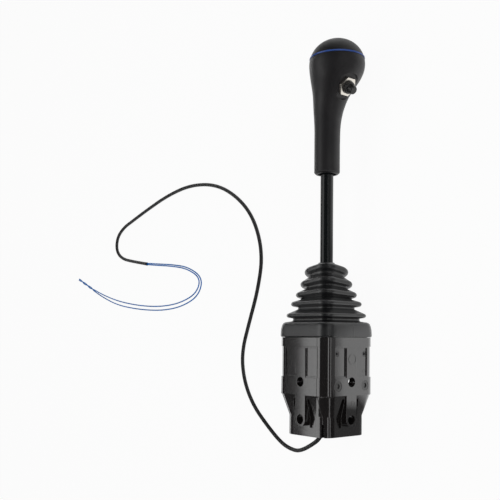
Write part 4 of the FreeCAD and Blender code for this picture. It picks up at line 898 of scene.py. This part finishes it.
switch = Finish("switch_black", roughness=0.32)
FINISHES["switch_black"] = switch
worn = rubbed_edges(switch, 0.0015)
thumb = switch.ramp(switch.noise(0.002, 3.0), 0.4, 0.7)
switch.feed("Base Color", switch.colour(0.8 * worn + 0.3 * thumb, grey(0.014), grey(0.075)))
switch.feed("Roughness", 0.26 + 0.14 * thumb)
switch.bump(switch.noise(0.0003, 2.0), 0.2, 0.00006)
print("nut:", len(nickel.tree.nodes), "nodes; switch:", len(switch.tree.nodes), "nodes")

# %% [markdown]
# Braid and insulation
#
# The sleeve is a fine tubular braid: two families of flat strands that climb round it in opposite
# directions and pass over and under each other. On its UV map, which is in metres, each family is a
# slanted wave, and a chequer of the two says which one lies on top. The wires are smooth PVC.

# %% The lead's finishes
braid = Finish("braided_sleeve", roughness=0.55)
FINISHES["braided_sleeve"] = braid
weave_map = braid.node("UVMap", {"uv_map": "along"})
spread = braid.node("SeparateXYZ", {}, {0: weave_map})
length_way = Signal(braid, spread.socket.node.outputs[1])
STRANDS = 8
GIRTH = 2 * math.pi * SLEEVE_RADIUS * MM
STRAND_PITCH = 0.0016
rising = spread * (2 * math.pi * STRANDS / GIRTH) + length_way * (2 * math.pi / STRAND_PITCH)
falling = spread * (2 * math.pi * STRANDS / GIRTH) - length_way * (2 * math.pi / STRAND_PITCH)
first = rising.sum("SINE", rising)
second = falling.sum("SINE", falling)
on_top = braid.ramp(first * second, -0.15, 0.15)
# Each strand's crown, which is also the bump's height, is painted lighter and the gaps between strands
# darker: a painted highlight and painted shade on the weave.
strand_crown_and_highlight = on_top * (1 - abs(first)) + (1 - on_top) * (1 - abs(second))
fuzz = braid.noise(0.0006, 3.0)
braid.feed("Base Color", braid.colour(0.7 * strand_crown_and_highlight + 0.3 * fuzz, grey(0.007), (0.026, 0.026, 0.028, 1)))
braid.feed("Roughness", 0.62 - 0.2 * strand_crown_and_highlight)
braid.bump(strand_crown_and_highlight, 0.8, 0.0002)

insulation = Finish("blue_insulation", roughness=0.45, ior=1.3)
FINISHES["blue_insulation"] = insulation
handled = insulation.noise(0.006, 4.0)
insulation.feed(
    "Base Color", insulation.colour(handled, (0.004, 0.155, 0.52, 1), (0.010, 0.200, 0.62, 1))
)
insulation.feed("Roughness", 0.40 + 0.16 * handled)
insulation.bump(insulation.noise(0.0015, 2.0), 0.2, 0.00008)
print("braid:", len(braid.tree.nodes), "nodes; insulation:", len(insulation.tree.nodes), "nodes")

# %% [markdown]
# Metals inside
#
# Zinc-plated steel has a cloudy grey sheen with fine drawn lines, bronze bushes are turned and brighter
# where they rub, the bracket is a rough aluminium casting, and the lid's screws are oiled black oxide.
# The bearings for the sliders are pale acetal. They differ only in numbers, so one function makes all.

# %% Steel, bronze, aluminium, acetal


def metal(slot, dark, light, roughness, size, drawn=(1, 1, 1), bump=0.15, metallic=1.0, coat=0.0):
    """A metal or hard plastic: clouds of tone, fine lines or grain, and brighter worn edges."""
    finish = Finish(slot, roughness=roughness, metallic=metallic, coat=coat)
    clouds = finish.noise(size, 4.0)
    lines = finish.noise(0.0004, 3.0, finish.place(drawn))
    worn = rubbed_edges(finish, size * 0.5)
    tone = finish.colour(clouds, (*dark, 1), (*light, 1))
    bright = tuple(min(1.0, level * 1.25 + 0.02) for level in light)
    finish.feed("Base Color", finish.colour(0.7 * worn, tone, (*bright, 1)))
    finish.feed("Roughness", roughness - 0.06 + 0.14 * clouds + 0.08 * lines)
    finish.bump(lines + 0.4 * clouds, bump, 0.0001)
    FINISHES[slot] = finish


metal("zinc_steel", (0.50, 0.50, 0.48), (0.70, 0.70, 0.69), 0.32, 0.004, (0.1, 1, 1))
metal("bronze", (0.46, 0.31, 0.14), (0.66, 0.48, 0.25), 0.36, 0.003, (1, 0.1, 0.1))
metal("cast_bracket", (0.50, 0.51, 0.52), (0.64, 0.65, 0.66), 0.5, 0.006, (1, 1, 1), 0.5)
metal(
    "black_screw", (0.014, 0.014, 0.014), (0.030, 0.029, 0.029), 0.26, 0.002, (1, 1, 1), 0.2, 0.0, 1.0
)
metal("bearing_plastic", (0.72, 0.69, 0.61), (0.82, 0.80, 0.74), 0.4, 0.005, (1, 1, 1), 0.2, 0.0)
metal("copper", (0.60, 0.24, 0.12), (0.75, 0.36, 0.20), 0.35, 0.0006)
print("finishes:", ", ".join(sorted(FINISHES)))

# %% [markdown]
# Rounded edges
#
# No moulded or machined edge is perfectly sharp, and the thin light line that a rounded edge catches is
# what makes plastic look real. A CAD node's own mesh stays as it is, so each visible piece is a merged
# copy whose outside edges get a small bevel. The bevel's middle vertices carry the attribute
# "rim", which the finishes read to wear the edges. A large flat face is best left whole, but one
# that winds round a narrow place can fold over itself once its edges move. So the bevel is tried, the
# faces that cross are counted, and a second try cuts only those into triangles first.

# %% A merged copy of a CAD node
SAME_PLACE = 2e-6
FLAT_LIMIT = math.radians(0.4)
SHARP_LIMIT = math.radians(28.0)
SMOOTH_LIMIT = math.radians(32.0)


def merged_copy(node, cut=()):
    """The CAD mesh with its flat faces merged; the numbered faces in cut are left as triangles."""
    shape = bmesh.new()
    shape.from_mesh(frame["nodes"][node].data)
    bmesh.ops.remove_doubles(shape, verts=shape.verts, dist=SAME_PLACE)
    bmesh.ops.dissolve_limit(shape, angle_limit=FLAT_LIMIT, verts=shape.verts, edges=shape.edges)
    source = shape.faces.layers.int.new("source")
    for number, face in enumerate(shape.faces):
        face[source] = number
    bmesh.ops.triangulate(shape, faces=[face for face in shape.faces if face[source] in cut])
    return shape


# %% Which faces cross
CROSSED_SHARE = 1.01
CROSSED_AREA = 1e-10


def crossed_faces(shape):
    """Numbers of the source faces whose outline folds over itself once the edges are rounded."""
    covered = {}
    for corners in shape.calc_loop_triangles():
        a, b, c = (corner.vert.co for corner in corners)
        covered[corners[0].face] = covered.get(corners[0].face, 0.0) + (b - a).cross(c - a).length / 2
    source = shape.faces.layers.int["source"]
    return {
        face[source] for face, area in covered.items()
        if area > CROSSED_SHARE * face.calc_area() + CROSSED_AREA
    }


# %% A bevel and a dressed copy


def bevel_outside(shape, width):
    """Bevels the convex sharp edges and gives the middle of each bevel the attribute rim."""
    sharp = [
        edge for edge in shape.edges
        if len(edge.link_faces) == 2 and edge.is_convex and edge.calc_face_angle() > SHARP_LIMIT
    ]
    made = bmesh.ops.bevel(
        shape, geom=sharp, offset=width, segments=2, profile=0.5, affect="EDGES", clamp_overlap=False,
        loop_slide=False, face_strength_mode="ALL",
    )
    strips = set(made["faces"])
    rim = shape.verts.layers.float.new("rim")
    for vertex in shape.verts:
        if vertex.link_faces and all(face in strips for face in vertex.link_faces):
            vertex[rim] = 1.0
    return len(sharp)


def dressed(node, width):
    """A bevelled, smoothly shaded copy that stands for its CAD node."""
    shape = merged_copy(node)
    sharp_count = bevel_outside(shape, width * MM)
    crossed = crossed_faces(shape)
    if crossed:
        shape.free()
        shape = merged_copy(node, crossed)
        bevel_outside(shape, width * MM)
    for face in shape.faces:
        face.smooth = True
    mesh = bpy.data.meshes.new(node + "_dressed")
    shape.to_mesh(mesh)
    shape.free()
    mesh.set_sharp_from_angle(angle=SMOOTH_LIMIT)
    piece = link(bpy.data.objects.new(node + "_dressed", mesh))
    weighted = piece.modifiers.new("weighted", "WEIGHTED_NORMAL")
    weighted.keep_sharp = True
    weighted.use_face_influence = True
    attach(piece, BODY_OF[node])
    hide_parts(node)
    print(f"{node}: {sharp_count} edges rounded by {width} mm, {len(crossed)} faces crossed")
    return piece


# %% The visible pieces
DRESSED = {
    "housing_body": 0.3, "housing_cover": 0.3, "cover_screws_lower": 0.15, "cover_screws_upper": 0.12,
    "knob_body": 0.35, "knob_cap": 0.25, "knob_ring": 0.2, "switch_bushing": 0.2, "switch_nut": 0.25,
    "button": 0.3, "lever_rod": 0.3, "lever_lock_nut": 0.25, "lead_grommet": 0.3,
    "cable_slider_left": 0.2, "cable_slider_far": 0.2, "lever_hub": 0.15, "pivot_bracket": 0.15,
}
dressed_pieces = {node: dressed(node, width) for node, width in DRESSED.items()}
print("dressed:", len(dressed_pieces), "of", len(frame["nodes"]), "nodes")

# %% [markdown]
# Marks of the mould
#
# Ejector pins leave fine raised rings on a moulded part. They are one ring at several places and sizes,
# so a Geometry Nodes tree puts it on every point of a small list, turned to its face and scaled.

# %% Rings on points


def ring_rule():
    """A tree that turns points into raised rings."""
    tree = bpy.data.node_groups.new("rings_on_points", "GeometryNodeTree")
    for name, kind in (
        ("Points", "Geometry"), ("Ring radius", "Float"), ("Bead radius", "Float"),
        ("Finish", "Material"),
    ):
        tree.interface.new_socket(name=name, in_out="INPUT", socket_type="NodeSocket" + kind)
    tree.interface.new_socket(name="Rings", in_out="OUTPUT", socket_type="NodeSocketGeometry")
    work = Workbench(tree)
    entry = tree.nodes.new("NodeGroupInput")
    inputs = [Signal(work, socket) for socket in list(entry.outputs)[:4]]
    points, ring_radius, bead_radius, finish = inputs
    circle = work.node("CurvePrimitiveCircle", {}, {"Resolution": 28, "Radius": ring_radius})
    bead = work.node("CurvePrimitiveCircle", {}, {"Resolution": 6, "Radius": bead_radius})
    ring = work.node("CurveToMesh", {}, {"Curve": circle, "Profile Curve": bead})
    smooth = work.node("SetShadeSmooth", {}, {"Geometry": ring, "Shade Smooth": True})
    normal = work.node("InputNamedAttribute", {"data_type": "FLOAT_VECTOR"}, {"Name": "facing"})
    size = work.node("InputNamedAttribute", {"data_type": "FLOAT"}, {"Name": "size"})
    facing = work.node("AlignRotationToVector", {"axis": "Z"}, {"Vector": normal})
    placed = work.node(
        "InstanceOnPoints", {},
        {"Points": points, "Instance": smooth, "Rotation": facing, "Scale": size},
    )
    real = work.node("RealizeInstances", {}, {"Geometry": placed})
    painted = work.node("SetMaterial", {}, {"Geometry": real, "Material": finish})
    end = tree.nodes.new("NodeGroupOutput")
    tree.links.new(painted.socket, end.inputs[0])
    return tree


RINGS = ring_rule()
print("ring rule:", len(RINGS.nodes), "nodes")

# %% A list of points with rings
RING_RADIUS = 2.6
BEAD_RADIUS = 0.18


def rings_on(name, spots, body, slot):
    """Rings at (place, facing, size) on one body."""
    points = bpy.data.meshes.new(name + "_points")
    points.from_pydata([spot for spot, facing, size in spots], [], [])
    facings = points.attributes.new("facing", "FLOAT_VECTOR", "POINT").data
    facings.foreach_set("vector", [c for spot, facing, size in spots for c in facing])
    sizes = points.attributes.new("size", "FLOAT", "POINT").data
    sizes.foreach_set("value", [size for spot, facing, size in spots])
    holder = link(bpy.data.objects.new(name + "_points", points))
    modifier = holder.modifiers.new("rings", "NODES")
    modifier.node_group = RINGS
    set_inputs(modifier, **{
        "Ring radius": RING_RADIUS * MM, "Bead radius": BEAD_RADIUS * MM,
        "Finish": FINISHES[slot].material,
    })
    bpy.context.view_layer.update()
    piece = link(bpy.data.objects.new(name, made_by(holder)))
    bpy.data.objects.remove(holder)
    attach(piece, body)
    print(name, len(spots), "rings,", len(piece.data.polygons), "faces")


# %% The housing's rings
LID_FACING = (0.0, -1.0, 0.0)
# How far the lid's recess, its belt and its upper band stand from the lever's middle.
PANEL = 31.3
BELT = 33.0
BAND = 32.8
rings_on(
    "lid_pin_marks",
    [
        (lying(0.5, -BELT, 70.4), LID_FACING, 1.75), (lying(-16.4, -BAND, 84.0), LID_FACING, 0.6),
        (lying(17.8, -PANEL, 59.5), LID_FACING, 0.6), (lying(1.5, -BELT, 30.6), LID_FACING, 0.85),
    ],
    "housing", "housing_nylon",
)

# %% [markdown]
# The button's spring
#
# The spring inside the knob shortens when the button is pressed. Here the CAD spring is copied onto the
# lever's body, and its length is measured along the way that the button goes.

# %% The spring and its length
joints = frame["record"]["behaviour"]["joints"]
pushing = next(joint for joint in joints if joint["name"] == "button_press")
press_way = Vector(pushing["axis"])
travel = pushing["range_m"][1]
spring = link(bpy.data.objects.new("button_spring_coil", frame["nodes"]["button_spring"].data.copy()))
reach = [vertex.co.dot(press_way) for vertex in spring.data.vertices]
length = max(reach) - min(reach)
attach(spring, "lever")
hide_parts("button_spring")
tuple(press_way * max(reach))
1 - travel / length
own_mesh(spring)
print("spring", round(length / MM, 1), "mm long, shortens by", round(travel / MM, 1))

# %% [markdown]
# Finishes on the pieces
#
# Every piece takes the finish of its slot in the record, and so do the CAD nodes that still show. A CAD
# node only gets another material in its slot, and its mesh stays as it is. The wires' cut ends show
# copper.

# %% Paint everything


def paint(piece, slot, end_slot=None):
    """Gives a piece of this script its finish, and its cut ends another."""
    piece.data.materials.clear()
    piece.data.materials.append(FINISHES[slot].material)
    if end_slot:
        piece.data.materials.append(FINISHES[end_slot].material)


for node, piece in frame["nodes"].items():
    piece.material_slots[0].material = FINISHES[SLOT_OF[node]].material
for node, piece in dressed_pieces.items():
    paint(piece, SLOT_OF[node])
paint(spring, SLOT_OF["button_spring"])
paint(sleeve, "braided_sleeve", "braided_sleeve")
for wire in wires:
    paint(wire, "blue_insulation", "copper")
print("painted:", len(frame["nodes"]), "nodes and", len(dressed_pieces), "dressed pieces")

# %% [markdown]
# The end
#
# The view layer is updated last, once every piece has its finish.

bpy.context.view_layer.update()
